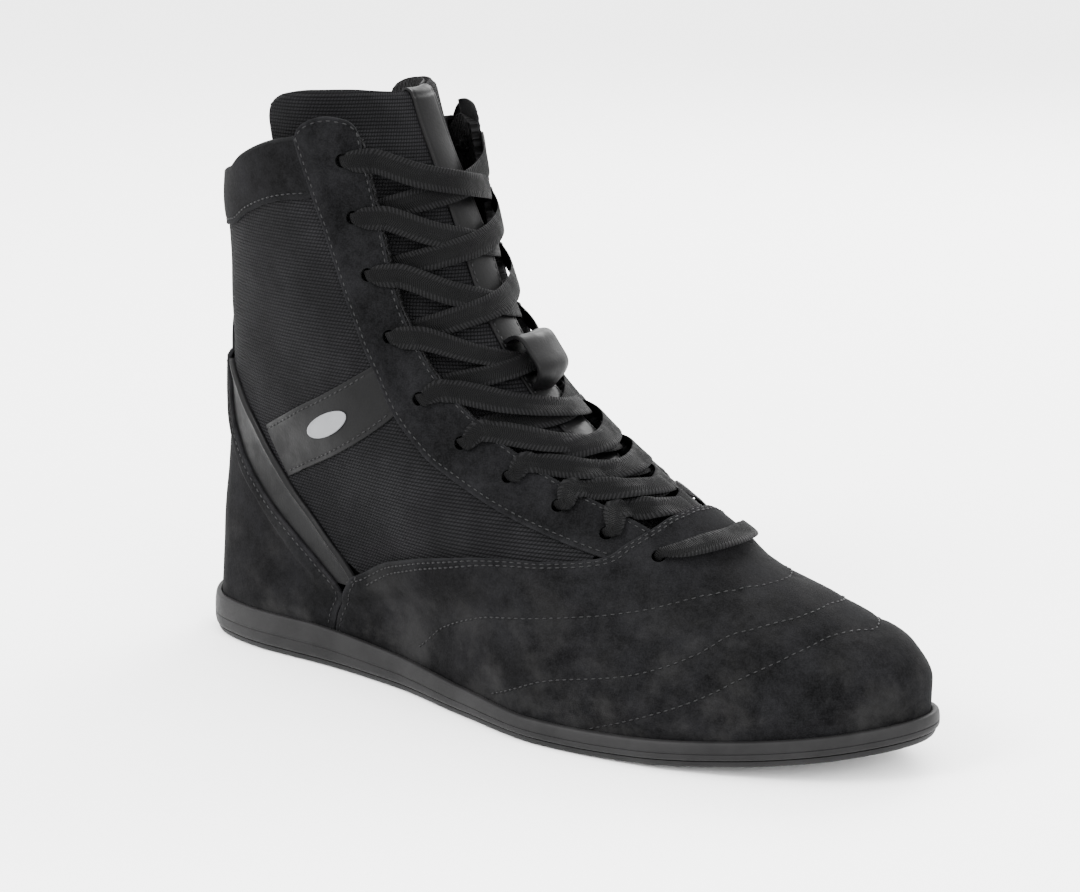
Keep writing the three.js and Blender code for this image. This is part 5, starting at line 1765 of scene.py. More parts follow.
# ------------------------------------------------------------------ sole
@dataclass
class Sole:
    """Cup sole, tread, insole board and sockliner."""

    tread_thickness: float = 2.6
    cup_inner: float = 0.42
    cup_outer: float = 2.3
    cup_swell: float = 0.85
    groove_pitch: float = 11.0
    groove_width: float = 2.2
    groove_depth: float = 1.1
    groove_drop: float = 14.0
    pivot: tuple[float, float] = (58.0, 4.6)
    pivot_radius: float = 17.0
    around: int = 240

    def _rings(self, rows: Sequence[tuple[float, float, float]]) -> Array:
        """Rings round the foot.

        Args:
            rows: For each ring its offset, its share of the height from the ground plane up
                to the feather line, and a height added to that, in mm.

        Returns:
            Points in metres, ring by ring.
        """
        turn = np.arange(self.around) * 360 / self.around
        turn = np.where(turn > 180, turn - 360, turn)
        rings = []
        for offset, share, extra in rows:
            p = LAST.rim_point(turn, np.full(self.around, offset))
            x = p[:, 0]
            p[:, 2] = share * LAST.sole_height(x) + extra + LAST.lift(x)
            rings.append((p + np.asarray(LAST.shift)) * MM)
        return np.array(rings)

    def _ring_piece(self, name: str, rows: Sequence[tuple[float, float, float]]) -> bpy.types.Object:
        """A closed body of rings, its first and last ring capped by strips across the foot.

        Args:
            name: Name of the piece.
            rows: The rings, as _rings takes them.

        Returns:
            The piece.
        """
        rings = self._rings(rows)
        n = self.around
        faces = grid_faces(n, len(rows) - 1, 0, wrap=True)
        for ring, flip in ((0, True), (len(rows) - 1, False)):
            start = ring * n
            for i in range(n // 2):
                quad = [start + i, start + i + 1, start + (n - i - 1) % n, start + (n - i) % n]
                quad = list(dict.fromkeys(quad))
                if len(quad) > 2:
                    faces.append(tuple(reversed(quad)) if flip else tuple(quad))
        flat = rings.reshape(-1, 3)
        return mesh_object(name, flat, faces, flat[:, :2], crease=40.0)

    def cup(self, bench: Workbench) -> None:
        """The cup sole: rounded at its foot, with a fine parting line and a thin lip.

        Args:
            bench: The shared finishes and stitch rows.
        """
        base, out = self.tread_thickness, self.cup_outer
        rows = [(out - 4.0, 0.0, base + 0.08), (out - 0.75, 0.0, base + 0.08), (out - 0.2, 0.0, base + 0.2)]
        wall = [
            (0.03, 0.15), (0.09, 0.55), (0.17, 0.78), (0.27, 0.86), (0.34, 0.86), (0.372, 0.84),
            (0.385, 0.62), (0.4, 0.6), (0.415, 0.62), (0.428, 0.82), (0.46, 0.85), (0.6, 0.8), (0.75, 0.66),
            (0.87, 0.46), (0.94, 0.26), (0.98, 0.02)
        ]
        for share, swell in wall:
            rows.append((out + swell * self.cup_swell / 0.86, share, (1 - share) * (base + 0.1)))
        rows += [(out - 0.3, 1.0, 0.0), (out - 0.7, 1.0, 0.12), (self.cup_inner + 0.35, 1.0, 0.08)]
        rows += [
            (self.cup_inner, 1.0, -0.3), (self.cup_inner, 1.0, -3.6), (self.cup_inner - 5.0, 1.0, -3.75)
        ]
        made = self._ring_piece("cup_wall", rows)
        bench.finishes.dress(made, "sole_rubber")
        settle(made, Body.BOOT, "rubber", "cup_sole")

    def _groove_paths(self) -> list[Array]:
        """Paths of the V-shaped grooves and the two pivot rings, under the sole.

        Returns:
            One path of points in metres for each groove.
        """
        margin = self.cup_outer - 9.0
        turn = np.linspace(0, 180, 181)
        sides = {s: LAST.rim_point(s * np.clip(turn, 0.5, 179.5), np.full(181, margin)) for s in (-1, 1)}
        centres = [*np.arange(-128, -60, self.groove_pitch), *np.arange(14, 140, self.groove_pitch)]
        px, py = self.pivot
        paths = []
        for x in centres:
            arms = []
            for s in (-1, 1):
                y = np.linspace(0, s * 60, 121)
                line = np.stack([x - self.groove_drop * np.abs(y) / 70, y], axis=-1)
                rim = np.interp(line[:, 0], sides[s][:, 0], sides[s][:, 1])
                inside = (s * line[:, 1] < s * rim - 0.5) & (line[:, 0] > -136) & (line[:, 0] < 132)
                far = np.hypot(line[:, 0] - px, line[:, 1] - py) > self.pivot_radius + 4.2
                arms.append(line[inside & far])
            joined = np.concatenate([arms[0][::-1], arms[1][1:]]) if len(arms[0]) and len(arms[1]) else None
            if joined is not None and np.abs(np.diff(joined[:, 1])).max() < 2:
                paths.append(joined)
            else:
                paths += [arm for arm in arms if len(arm) > 6]
        for radius in (self.pivot_radius, self.pivot_radius / 2):
            a = np.linspace(0.04, 2 * math.pi - 0.04, 60)
            paths.append(np.stack([px + radius * np.cos(a), py + radius * np.sin(a)], axis=-1))
        made = []
        for path in paths:
            if len(path) < 8:
                continue
            z = LAST.lift(path[:, 0])
            made.append((np.column_stack([path, z]) + np.asarray(LAST.shift)) * MM)
        return made

    def tread(self, bench: Workbench) -> None:
        """The tread: a rounded slab with V grooves and a round pivot pattern.

        Args:
            bench: The shared finishes and stitch rows.
        """
        top = self.tread_thickness
        rows = [
            (-8.0, 0, 0), (-3.2, 0, 0), (-2.2, 0, 0.08), (-1.4, 0, 0.35), (-0.8, 0, 0.8), (-0.45, 0, 1.4)
        ]
        rows += [(-0.25, 0, 2.1), (-0.2, 0, top - 0.15), (-0.45, 0, top), (-3.0, 0, top)]
        made = self._ring_piece("tread", [(self.cup_outer + o, s, h) for o, s, h in rows])
        paths = path_object("groove_paths", self._groove_paths(), {})
        values = {
            "Paths": paths, "Groove Width": self.groove_width * MM, "Groove Depth": self.groove_depth * MM,
            "Material": bench.finishes.made["sole_rubber"]
        }
        apply_tree(made, Trees.get("tread_grooves"), values, crease=35.0)
        bpy.data.objects.remove(paths)
        settle(made, Body.BOOT, "rubber", "outsole_tread")

    def inside(self, bench: Workbench) -> None:
        """The sockliner, with its rounded rim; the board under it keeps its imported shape.

        Args:
            bench: The shared finishes and stitch rows.
        """
        edge, low = LAYERS.lining_face - 1.1, -2.0
        rows = [(edge - 3, 1, low), (edge - 0.2, 1, low), (edge, 1, low + 0.4), (edge, 1, low + 2.0)]
        rows += [
            (edge - 0.25, 1, low + 2.6), (edge - 0.8, 1, low + 2.9), (edge - 2.2, 1, low + 3.0),
            (edge - 6, 1, low + 3)
        ]
        made = self._ring_piece("sock", rows)
        bench.finishes.dress(made, "lining_knit")
        settle(made, Body.BOOT, "foam", "sockliner")

    def build(self, bench: Workbench) -> None:
        """Builds every piece of the sole.

        Args:
            bench: The shared finishes and stitch rows.
        """
        self.cup(bench)
        self.tread(bench)
        self.inside(bench)


# ------------------------------------------------------------------ upper
@dataclass
class Upper:
    """Vamp, heel panel, quarters, eyestays, collar, straps, badges and linings."""

    strap_gap: float = 0.24
    badge: tuple[float, float, float] = (22.0, 8.0, 0.5)
    collar_roll: float = 2.2

    def _vamp_place(self, u: Array, v: Array) -> tuple[Array, Array]:
        """Places of the vamp, from the outer rear seam round the toe.

        Args:
            u: Share across the panel.
            v: Share up the panel.

        Returns:
            Height and angle.
        """
        span = 2 * u - 1
        guess = 180 - np.abs(span) * (180 - Seams.vamp_side(23))
        top = Seams.vamp_height(guess)
        shoulder = top - 2 * Seams.lap
        low = blend(-Seams.cup_depth, shoulder, v / 0.6)
        high = blend(shoulder, top, (v - 0.6) / 0.4)
        height = np.where(v < 0.6, low, high)
        return height, 180 + span * (180 - Seams.vamp_side(np.minimum(height, 23)))

    def vamp(self, bench: Workbench) -> None:
        """The vamp with its decorative lines and the lowest eyelets.

        Args:
            bench: The shared finishes and stitch rows.
        """

        def face(u: Array, v: Array, height: Array, turn: Array) -> Array:
            """Inner face: it climbs over the eyestays near its upper edge."""
            return blend(LAYERS.base, LAYERS.over_stay, ease(v, 0.55, 0.8))

        lines = [Seams.toe_line(k) for k in range(3)]
        panel = Panel(
            "vamp_panel", self._vamp_place, face, raised(face, LAYERS.suede), (250, 56), Edge.STITCHED,
            Edge.STITCHED, Edge.HIDDEN, Edge.STITCHED, uv_start=180.0,
            grooves=[LAST.on(line[:, 0], line[:, 1], 0.3) for line in lines]
        )
        made = panel.build()
        paths = [panel.rim_path("high", 2.0), panel.rim_path("high", 4.6, 0.02, 0.98)]
        paths += [panel.rim_path(edge, 2.0, 0.12, 0.97) for edge in ("rear", "front")]
        bench.sew(made, paths + lines)
        bench.punch(made, bench.all_holes, "nubuck")
        settle(made, Body.BOOT, "suede", "vamp")

    def heel(self, bench: Workbench) -> None:
        """The heel panel that laps over the diagonal straps.

        Args:
            bench: The shared finishes and stitch rows.
        """
        top = Seams.heel_edge[-1][0]
        mesh_rear = angle_by([(25, 71), (40, 56), (60, 46), (80, 34), (100, 20), (112, 8), (118, 0)])
        strap_rear = angle_by(Seams.strap_rear)

        def face(u: Array, v: Array, height: Array, turn: Array) -> Array:
            """Inner face: it climbs over the mesh and the straps under its edges.

            Args:
                u: Share across the panel.
                v: Share up the panel.
                height: Heights over the feather line in mm.
                turn: Signed angles in degrees.

            Returns:
                Offsets in mm.
            """
            angle = np.abs(turn)
            on_mesh = ease(angle - mesh_rear(height) + 2.6, 0, 2.6)
            on_strap = ease(angle - strap_rear(height) + 2.4, 0, 2.2) * ease(height, 13, 18)
            on_strap = on_strap * (1 - ease(height, 88.5, 91.5))
            level = blend(LAYERS.base, LAYERS.clear - 0.1, np.maximum(on_mesh, on_strap))
            return level + (LAYERS.strap + 0.42) * on_strap

        def place(u: Array, v: Array) -> tuple[Array, Array]:
            """Places of the heel panel."""
            height = blend(-Seams.cup_depth, top, v)
            return height, (2 * u - 1) * Seams.heel_side(height)

        panel = Panel(
            "heel_wrap", place, face, raised(face, LAYERS.suede), (90, 80), Edge.STITCHED, Edge.STITCHED,
            Edge.HIDDEN, Edge.STITCHED
        )
        made = panel.build()
        bench.sew(made, [panel.rim_path(edge, 2.0, 0.05, 0.985) for edge in ("rear", "front")])
        bench.finishes.dress(made, "nubuck")
        settle(made, Body.BOOT, "suede", "heel_panel")

    @staticmethod
    def _stay_inner(s: Array, share: float) -> tuple[Array, Array]:
        """A seam between the rear edge of the eyestay and the throat."""
        rear, front = seam_line(Seams.stay_rear)(s), seam_line(Seams.throat)(s)
        return blend(rear[0], front[0], share), blend(rear[1], front[1], share)

    def quarter(self, bench: Workbench, side: Side) -> None:
        """The ribbed mesh quarter of one side.

        Args:
            bench: The shared finishes and stitch rows.
            side: Side of the boot.
        """

        def front(v: Array) -> tuple[Array, Array]:
            """The front edge of the quarter."""
            return self._stay_inner(blend(0.95, 0.12, v), 0.17)

        end, start = front(np.array(0.0)), front(np.array(1.0))

        def low(u: Array) -> tuple[Array, Array]:
            """The low edge of the quarter."""
            a = blend(71, end[1], u)
            return blend(Seams.vamp_height(a) - Seams.lap + 1, end[0], ease(u, 0.8, 1)), a

        def high(u: Array) -> tuple[Array, Array]:
            """The high edge of the quarter.

            Args:
                u: Share across the panel.

            Returns:
                Height and angle.
            """
            a = blend(0.12, start[1], u)
            under = Seams.collar_height(a) - Seams.collar_band + Seams.lap
            return blend(under, start[0], ease(u, 0.8, 1)), a

        corner, peak = low(np.array(0.0)), high(np.array(0.0))
        rear = seam_line(
            [(float(corner[0]), 71), (40, 56), (60, 46), (80, 34), (100, 20), (112, 8), (120, 0.12),
             (float(peak[0]), 0.12)]
        )
        place = on_side(four_sided(low, high, rear, front), side)
        panel = Panel(
            f"mesh_quarter_{side.word}", place, held(-LAYERS.mesh), held(0.0), (70, 70), uv_start=0.0
        )
        made = bench.finishes.dress(panel.build(), "ribbed_mesh")
        settle(made, Body.BOOT, "mesh", f"quarter_mesh_{side.word}")

    def stay(self, bench: Workbench, side: Side) -> None:
        """The eyestay of one side, punched for the lace.

        Args:
            bench: The shared finishes and stitch rows.
            side: Side of the boot.
        """

        def face(u: Array, v: Array, height: Array, turn: Array) -> Array:
            """Inner face: it laps over the mesh, the side strap and the collar band.

            Args:
                u: Share across the panel.
                v: Share up the panel.
                height: Heights over the feather line in mm.
                turn: Signed angles in degrees.

            Returns:
                Offsets in mm.
            """
            cross = ease(height, 76, 84) * (1 - ease(height, 108, 116))
            lap = blend(LAYERS.clear, LAYERS.stay_over_band, np.maximum(cross, ease(height, 146, 154)))
            return blend(lap, LAYERS.base, ease(u, 0.22, 0.38))

        rear_end, front_end = Seams.stay_rear[-1], Seams.throat[-1]

        def end(u: Array) -> tuple[Array, Array]:
            """Lower end, hidden under the vamp."""
            return blend(rear_end[0], front_end[0], u), blend(rear_end[1], front_end[1], u)

        place = on_side(
            four_sided(seam_line(Seams.stay_top), end, seam_line(Seams.stay_rear), seam_line(Seams.throat)),
            side
        )
        panel = Panel(
            f"lace_stay_{side.word}", place, face, raised(face, LAYERS.suede), (26, 120), Edge.STITCHED,
            Edge.STITCHED, Edge.STITCHED, Edge.HIDDEN, uv_start=90.0, skirt=0.25
        )
        made = panel.build()
        paths = [panel.rim_path("rear", 2.0, 0.015), panel.rim_path("front", 2.0, 0.015)]
        bench.sew(made, [*paths, panel.rim_path("low", 2.0, 0.05, 0.95)])
        bench.punch(made, bench.holes[side], "nubuck")
        settle(made, Body.BOOT, "suede", f"eyestay_{side.word}")

    def collar(self, bench: Workbench, side: Side) -> None:
        """The padded collar: it rolls over the top edge and down to the lining.

        Args:
            bench: The shared finishes and stitch rows.
            side: Side of the boot.
        """
        out, back = LAYERS.clear + LAYERS.band, LAYERS.lining_face - 0.5
        roll, middle, half = self.collar_roll, (out + back) / 2, (out - back) / 2
        turn = np.concatenate([[0.06, 0.3, 0.8], np.linspace(2, 105.5, 70)])
        top = Seams.collar_height(turn)
        low = top - Seams.collar_band
        rows: list[tuple[Array, Array]] = []
        for d in (0.0, 0.08, 0.3, 0.7, 1.2, 1.6, 2.0, 2.4, 3.0, 4.5, 6.5, 9, 11.5, 14, 16.5, 18.2):
            puff = 0.55 * math.sin(
                math.pi * min(1.0, max(0.0, (d - 2.2) / 15.5))
            ) ** 0.8 if d > 2.2 else 0.0
            dip = 0.2 * math.exp(-(((d - 2.0) / 0.5) ** 2)) + 0.45 * max(0.0, 1 - d / 0.5) ** 2
            rows.append((low + d, out + puff - dip + 0 * low))
        for k in range(1, 10):
            angle = math.pi * k / 10
            rows.append((top - roll + roll * math.sin(angle), middle + half * math.cos(angle) + 0 * low))
        for d in (0.5, 1.5, 3.0, 5.0, 8.0):
            rows.append((top - roll - d, back - 0.25 * math.sin(math.pi * d / 8) + 0 * low))
        outer = [LAST.on(h, side.value * turn, o) for h, o in rows]
        inner = [LAST.on(np.minimum(h, top - 1.2), side.value * turn, o + (0.8 if k > 20 else -0.8))
                 for k, (h, o) in enumerate(rows)]
        for k in range(17, 24):
            inner[k] = LAST.on(
                top - 1.6 + 0 * low, side.value * turn, middle + (rows[k][1] - middle) * 0.55
            )
        uv = [
            np.stack([LAST.run(h, side.value * turn, 0.0), p[:, 2]], -1) for (h, _), p in zip(rows, outer)
        ]
        wear = [
            np.full(
                len(turn), math.exp(-k / 1.5) + (0.35 if 17 <= k <= 24 else 0.0)
            ) for k in range(len(rows))
        ]
        made = mesh_object(
            f"collar_roll_{side.word}", np.concatenate([np.concatenate(inner), np.concatenate(outer)]),
            shell_faces(len(turn) - 1, len(rows) - 1), np.concatenate(uv + uv),
            {"rim_wear": np.concatenate([np.zeros(len(rows) * len(turn)), np.concatenate(wear)])}
        )
        fine = np.linspace(0.4, 100.5, 220)
        seam = Seams.collar_height(fine) - Seams.collar_band + 2.0
        bench.sew(made, [np.stack([seam, side.value * fine], -1)])
        bench.finishes.dress(made, "nubuck")
        settle(made, Body.BOOT, "suede", f"collar_band_{side.word}", f"collar_padding_{side.word}")

    def straps(self, bench: Workbench, side: Side) -> None:
        """The diagonal heel strap with its folded rim, the side strap and its badge.

        Args:
            bench: The shared finishes and stitch rows.
            side: Side of the boot.
        """
        rear, front = seam_line(Seams.strap_rear), seam_line(Seams.strap_front)

        def slope(u: Array, v: Array) -> tuple[Array, Array]:
            """Places of the diagonal strap."""
            a, b = rear(v), front(v)
            return blend(a[0], b[0], u), side.value * blend(a[1], b[1], u)

        low = held(LAYERS.clear)
        diagonal = Panel(
            f"heel_strap_{side.word}", slope, low, raised(low, LAYERS.strap), (14, 70), Edge.HIDDEN,
            Edge.PIPED, Edge.HIDDEN, Edge.HIDDEN, skirt=0.24, uv_start=90.0
        )
        made = bench.finishes.dress(diagonal.build(), "strap_leather")
        settle(made, Body.BOOT, "strap_leather", f"diagonal_strap_{side.word}")
        c = Seams.strap_band

        def band(u: Array, v: Array) -> tuple[Array, Array]:
            """Places of the side strap.

            Args:
                u: Share across the panel.
                v: Share up the panel.

            Returns:
                Height and angle.
            """
            lower = [blend(c[0][k], c[1][k], u) for k in (0, 1)]
            upper = [blend(c[3][k], c[2][k], u) for k in (0, 1)]
            return blend(lower[0], upper[0], v), side.value * blend(lower[1], upper[1], v)

        strap = Panel(
            f"cross_strap_{side.word}", band, low, raised(low, LAYERS.band), (60, 10), Edge.HIDDEN,
            Edge.HIDDEN, Edge.STITCHED, Edge.STITCHED, skirt=self.strap_gap, press=0.15, stitch_inset=1.8,
            uv_start=90.0
        )
        made = strap.build()
        bench.sew(made, [strap.rim_path(edge, 1.8, 0.03, 0.86) for edge in ("low", "high")])
        bench.finishes.dress(made, "strap_leather")
        settle(made, Body.BOOT, "strap_leather", f"side_strap_{side.word}")
        self._badge(bench, side, band)

    def _badge(self, bench: Workbench, side: Side, band: Place) -> None:
        """A plain domed oval on the side strap, with a raised rim line.

        Args:
            bench: The shared finishes and stitch rows.
            side: Side of the boot.
            band: The strap's field.
        """
        long, wide, thick = self.badge
        base = LAYERS.clear + LAYERS.band + 0.02

        def size(a: tuple[float, float], b: tuple[float, float]) -> float:
            """Distance on the last between two places on the strap."""
            p = LAST.point(*band(np.array([a[0], b[0]]), np.array([a[1], b[1]])))
            return float(np.linalg.norm(p[1] - p[0]))

        along, across = 0.2 / size((0.36, 0.5), (0.56, 0.5)), 0.4 / size((0.46, 0.3), (0.46, 0.7))
        rows = [(1.0, 0.0), (1.0, 0.5), (0.985, 0.85), (0.95, 1.0), (0.9, 1.02), (0.86, 0.82), (0.8, 0.76)]
        rows += [(0.6, 0.95), (0.4, 1.05), (0.2, 1.1), (0.03, 1.12)]
        turn = np.arange(64) * 2 * math.pi / 64
        points = []
        for share, rise in rows:
            u = 0.46 + np.cos(turn) * long / 2 * along * share
            v = 0.5 + np.sin(turn) * wide / 2 * across * share
            height, angle = band(u, v)
            points.append(LAST.on(height, angle, base + rise * thick))
        faces = grid_faces(64, len(rows) - 1, 0, wrap=True)
        faces.append(tuple(range(64)))
        faces.append(tuple(reversed(range(64 * (len(rows) - 1), 64 * len(rows)))))
        flat = np.concatenate(points)
        made = mesh_object(f"badge_oval_{side.word}", flat, faces, flat[:, [0, 2]])
        bench.finishes.dress(made, "silver_print")
        settle(made, Body.BOOT, "badge_print", f"badge_{side.word}")

    def lining(self, bench: Workbench, side: Side) -> None:
        """The knitted lining of one quarter, with a soft roll along the throat.

        Args:
            bench: The shared finishes and stitch rows.
            side: Side of the boot.
        """

        def front(v: Array) -> tuple[Array, Array]:
            """Front edge, just proud of the eyestay."""
            height, angle = seam_line(Seams.throat)(blend(0.97, 0.01, v))
            return height, angle + 1.1

        ends = front(np.array(0.0)), front(np.array(1.0))
        low = seam_line(
            [(-3.5, 0.12), (-3.5, 50), (-3.5, 92), *Seams.lining_seam, tuple(map(float, ends[0]))]
        )
        top = [(float(Seams.collar_height(a)) - 5.5, a) for a in (0.12, 52, 87)]
        high = seam_line([*top, (172.5, 104), (179.5, 118), tuple(map(float, ends[1]))])
        rear = seam_line([(-3.5, 0.12), (float(Seams.collar_height(0.12)) - 5.5, 0.12)])
        inner_face, outer_face = LAYERS.lining_face, LAYERS.lining_face + LAYERS.lining

        def roll(u: Array) -> Array:
            """How full the edge roll is, by share across the lining."""
            return ease(u, 0.93, 0.975)

        panel = Panel(
            f"knit_lining_{side.word}", on_side(four_sided(low, high, rear, front), side), lambda u, v,
            height, turn: inner_face - 0.35 * roll(u), lambda u, v, height,
            turn: blend(outer_face, LAYERS.base - 0.04, roll(u)), (110, 70), Edge.HIDDEN, Edge.CUT,
            Edge.HIDDEN, Edge.HIDDEN, skirt=-0.4, press=0.0, uv_start=0.0
        )
        made = panel.build()
        bench.punch(made, bench.holes[side], "lining_knit")
        settle(made, Body.BOOT, "knit", f"lining_{side.word}")

    def toe_lining(self, bench: Workbench) -> None:
        """The lining of the vamp.

        Args:
            bench: The shared finishes and stitch rows.
        """
        edge = height_by([(-3.5, 92), *Seams.lining_seam, (57, 161), (60, 180)])

        def place(u: Array, v: Array) -> tuple[Array, Array]:
            """Places of the vamp lining.

            Args:
                u: Share across the panel.
                v: Share up the panel.

            Returns:
                Height and angle.
            """
            turn = 180 + (2 * u - 1) * (180 - 101)
            a = 180 - np.abs(turn - 180)
            return blend(-Seams.cup_depth, edge(a) - 2, v), turn

        inner = held(LAYERS.lining_face)
        panel = Panel("toe_lining", place, inner, raised(inner, LAYERS.lining), (110, 26), uv_start=180.0)
        made = panel.build()
        bench.punch(made, bench.all_holes, "lining_knit")
        settle(made, Body.BOOT, "knit", "vamp_lining")

    def build(self, bench: Workbench) -> None:
        """Builds every piece of the upper.

        Args:
            bench: The shared finishes and stitch rows.
        """
        self.vamp(bench)
        self.heel(bench)
        for side in Side:
            self.quarter(bench, side)
            self.stay(bench, side)
            self.collar(bench, side)
            self.straps(bench, side)
            self.lining(bench, side)
        self.toe_lining(bench)


# ------------------------------------------------------------------ tongue
@dataclass
class Tongue:
    """Padded tongue with its leather strip, knitted back and lace keeper."""

    strip_half: float = 14.0
    strip_turn: float = 176.0
    strip_thickness: float = 0.7
    loop: tuple[float, float, float, float] = (16.0, 20.5, 5.3, 1.0)
    keeper_row: int = 3

    @staticmethod
    def face(height: Array, turn: Array) -> Array:
        """Outer offset of the tongue: it swells between the throat edges.

        Args:
            height: Heights over the feather line in mm.
            turn: Signed angles in degrees.

        Returns:
            Offsets in mm.
        """
        opening = 180 - Seams.throat_side(np.clip(height, 57, 179))
        off = np.abs(np.where(turn < 0, turn + 360, turn) - 180) / opening
        swell = (1 - ease(off, 0.35, 0.85)) * ease(height, 66, 84)
        lean = LAYERS.tongue_lean * ease(
            height, 135, Seams.tongue_top + 12
        ) * ease(180 - off * opening, 90, 145)
        return LAYERS.lining_face - LAYERS.tongue_gap + LAYERS.tongue_rise * swell - lean

    def _place(self) -> Place:
        """Places of the tongue, u across the foot and v up it.

        Returns:
            The tongue's field.
        """
        edge = seam_line(Seams.tongue_edge)
        height, angle = Seams.tongue_edge[-1]
        top = seam_line(
            [
                (height, angle), (blend(height, Seams.tongue_corner, 0.65), 83.5),
                (Seams.tongue_corner + 1, 91), (blend(Seams.tongue_corner, Seams.tongue_top, 0.4), 110),
                (blend(Seams.tongue_corner, Seams.tongue_top, 0.75), 140), (Seams.tongue_top, 180)
            ]
        )
        base = seam_line([Seams.tongue_edge[0], (57, 172), (58, 180)])

        def half(curve: Seam) -> Seam:
            """A seam to the middle and back down the other side.

            Args:
                curve: The seam up to the middle.

            Returns:
                The seam from one edge to the other.
            """

            def whole(u: Array) -> tuple[Array, Array]:
                """The seam, mirrored past the middle."""
                h, a = curve(np.where(u < 0.5, 2 * u, 2 - 2 * u))
                return h, np.where(u < 0.5, a, 360 - a)

            return whole

        def far(v: Array) -> tuple[Array, Array]:
            """The edge on the outer side."""
            h, a = edge(v)
            return h, 360 - a

        return four_sided(half(base), half(top), edge, far)

    def pad(self, bench: Workbench) -> None:
        """The padded body: ribbed mesh in front over foam, its rim rounded and stitched.

        Args:
            bench: The shared finishes and stitch rows.
        """
        cover = LAYERS.tongue_cover + LAYERS.clear + LAYERS.tongue_foam
        place = self._place()

        def top(u: Array, v: Array, height: Array, turn: Array) -> Array:
            """Front face, crowned between the rim and the strip.

            Args:
                u: Share across the panel.
                v: Share up the panel.
                height: Heights over the feather line in mm.
                turn: Signed angles in degrees.

            Returns:
                Offsets in mm.
            """
            across = np.abs(2 * u - 1)
            crown = 0.35 * np.sin(np.pi * np.clip((across - 0.2) / 0.8, 0, 1)) * np.sin(np.pi * v) ** 0.4
            return self.face(height, turn) + crown * ease(height, 150, 172) - 0.02

        def low(u: Array, v: Array, height: Array, turn: Array) -> Array:
            """Back of the foam."""
            return self.face(height, turn) - cover

        panel = Panel(
            "tongue_pad", place, low, top, (90, 100), Edge.STITCHED, Edge.STITCHED, Edge.HIDDEN,
            Edge.STITCHED, skirt=-1.6, press=1.5, stitch_inset=3.4, uv_start=180.0
        )
        made = panel.build()
        paths = [panel.rim_path(edge, 3.4, 0.35, 0.985) for edge in ("rear", "front")]
        bench.sew(made, [*paths, panel.rim_path("high", 3.4, 0.03, 0.97)], Body.TONGUE)
        bench.finishes.dress(made, "ribbed_mesh")
        settle(made, Body.TONGUE, "mesh", "tongue_cover", "tongue_foam")

        def back(u: Array, v: Array, height: Array, turn: Array) -> Array:
            """Front face of the knitted back."""
            return self.face(height, turn) - cover - 0.1

        knit = Panel(
            "tongue_back", place, raised(back, -LAYERS.tongue_cover), back, (60, 70), Edge.CUT, Edge.CUT,
            Edge.HIDDEN, Edge.CUT, skirt=-0.3, press=0.0, uv_start=180.0
        )
        made = bench.finishes.dress(knit.build(), "lining_knit")
        settle(made, Body.TONGUE, "knit", "tongue_lining")

    def strip(self, bench: Workbench) -> None:
        """The leather strip down the middle, turned over the tongue's top edge.

        Args:
            bench: The shared finishes and stitch rows.
        """
        thick = self.strip_thickness
        width = 2 * self.strip_half
        near = np.array([0, 0.15, 0.5, 1.1])
        turn = np.concatenate([near, np.linspace(1.8, width - 1.8, 26), width - near[::-1]])
        turn = self.strip_turn - self.strip_half + turn
        d = (self.strip_half - np.abs(turn - self.strip_turn)) * 0.67
        dip = 0.3 * np.maximum(0, 1 - d / 0.5) ** 2 + 0.15 * np.exp(-(((d - 1.8) / 0.5) ** 2))
        height = np.linspace(64, Seams.tongue_top - 3.2, 150)
        rows = [(h, self.face(h + 0 * turn, turn) + 0.3 + thick - dip) for h in height]
        high = self.face(Seams.tongue_top + 0 * turn, turn)
        depth = 5.4
        for k in range(0, 11):
            a = math.pi * k / 10
            shift = (depth / 2 + thick) * (1 - math.cos(a))
            rows.append(
                (Seams.tongue_top - 2.8 + 3.4 * math.sin(a), high + 0.3 + thick - dip * (k < 4) - shift)
            )
        for k in (2, 5, 9, 13):
            rows.append((Seams.tongue_top - 2.8 - k, high + 0.3 - depth - thick))
        last = len(height) - 1
        points = [[], []]
        for n, (h, offset) in enumerate(rows):
            a = math.pi * min(1.0, max(0.0, (n - last - 1) / 10))
            inward, down = thick * math.cos(a), thick * math.sin(a)
            points[0].append(LAST.on(h - down, turn, offset - inward))
            points[1].append(LAST.on(h + 0 * turn, turn, offset))
        outer = np.concatenate(points[1])
        uv = np.tile(np.stack([np.radians(turn) * 0.04, 0 * turn], -1), (len(rows), 1))
        uv[:, 1] = np.repeat(np.arange(len(rows)) * 0.0008, len(turn))
        made = mesh_object(
            "tongue_leather", np.concatenate([np.concatenate(points[0]), outer]),
            shell_faces(len(turn) - 1, len(rows) - 1), np.concatenate([uv, uv]),
            {"rim_wear": np.tile(np.exp(-d / 0.9), 2 * len(rows))}
        )
        run = np.linspace(66, Seams.tongue_top - 1, 240)
        rows_of = [
            np.stack([run, 0 * run + self.strip_turn + s * (self.strip_half - 2.6)], -1) for s in (-1, 1)
        ]
        bench.sew(made, rows_of, Body.TONGUE)
        bench.finishes.dress(made, "strap_leather")
        settle(made, Body.TONGUE, "strap_leather", "tongue_strip")

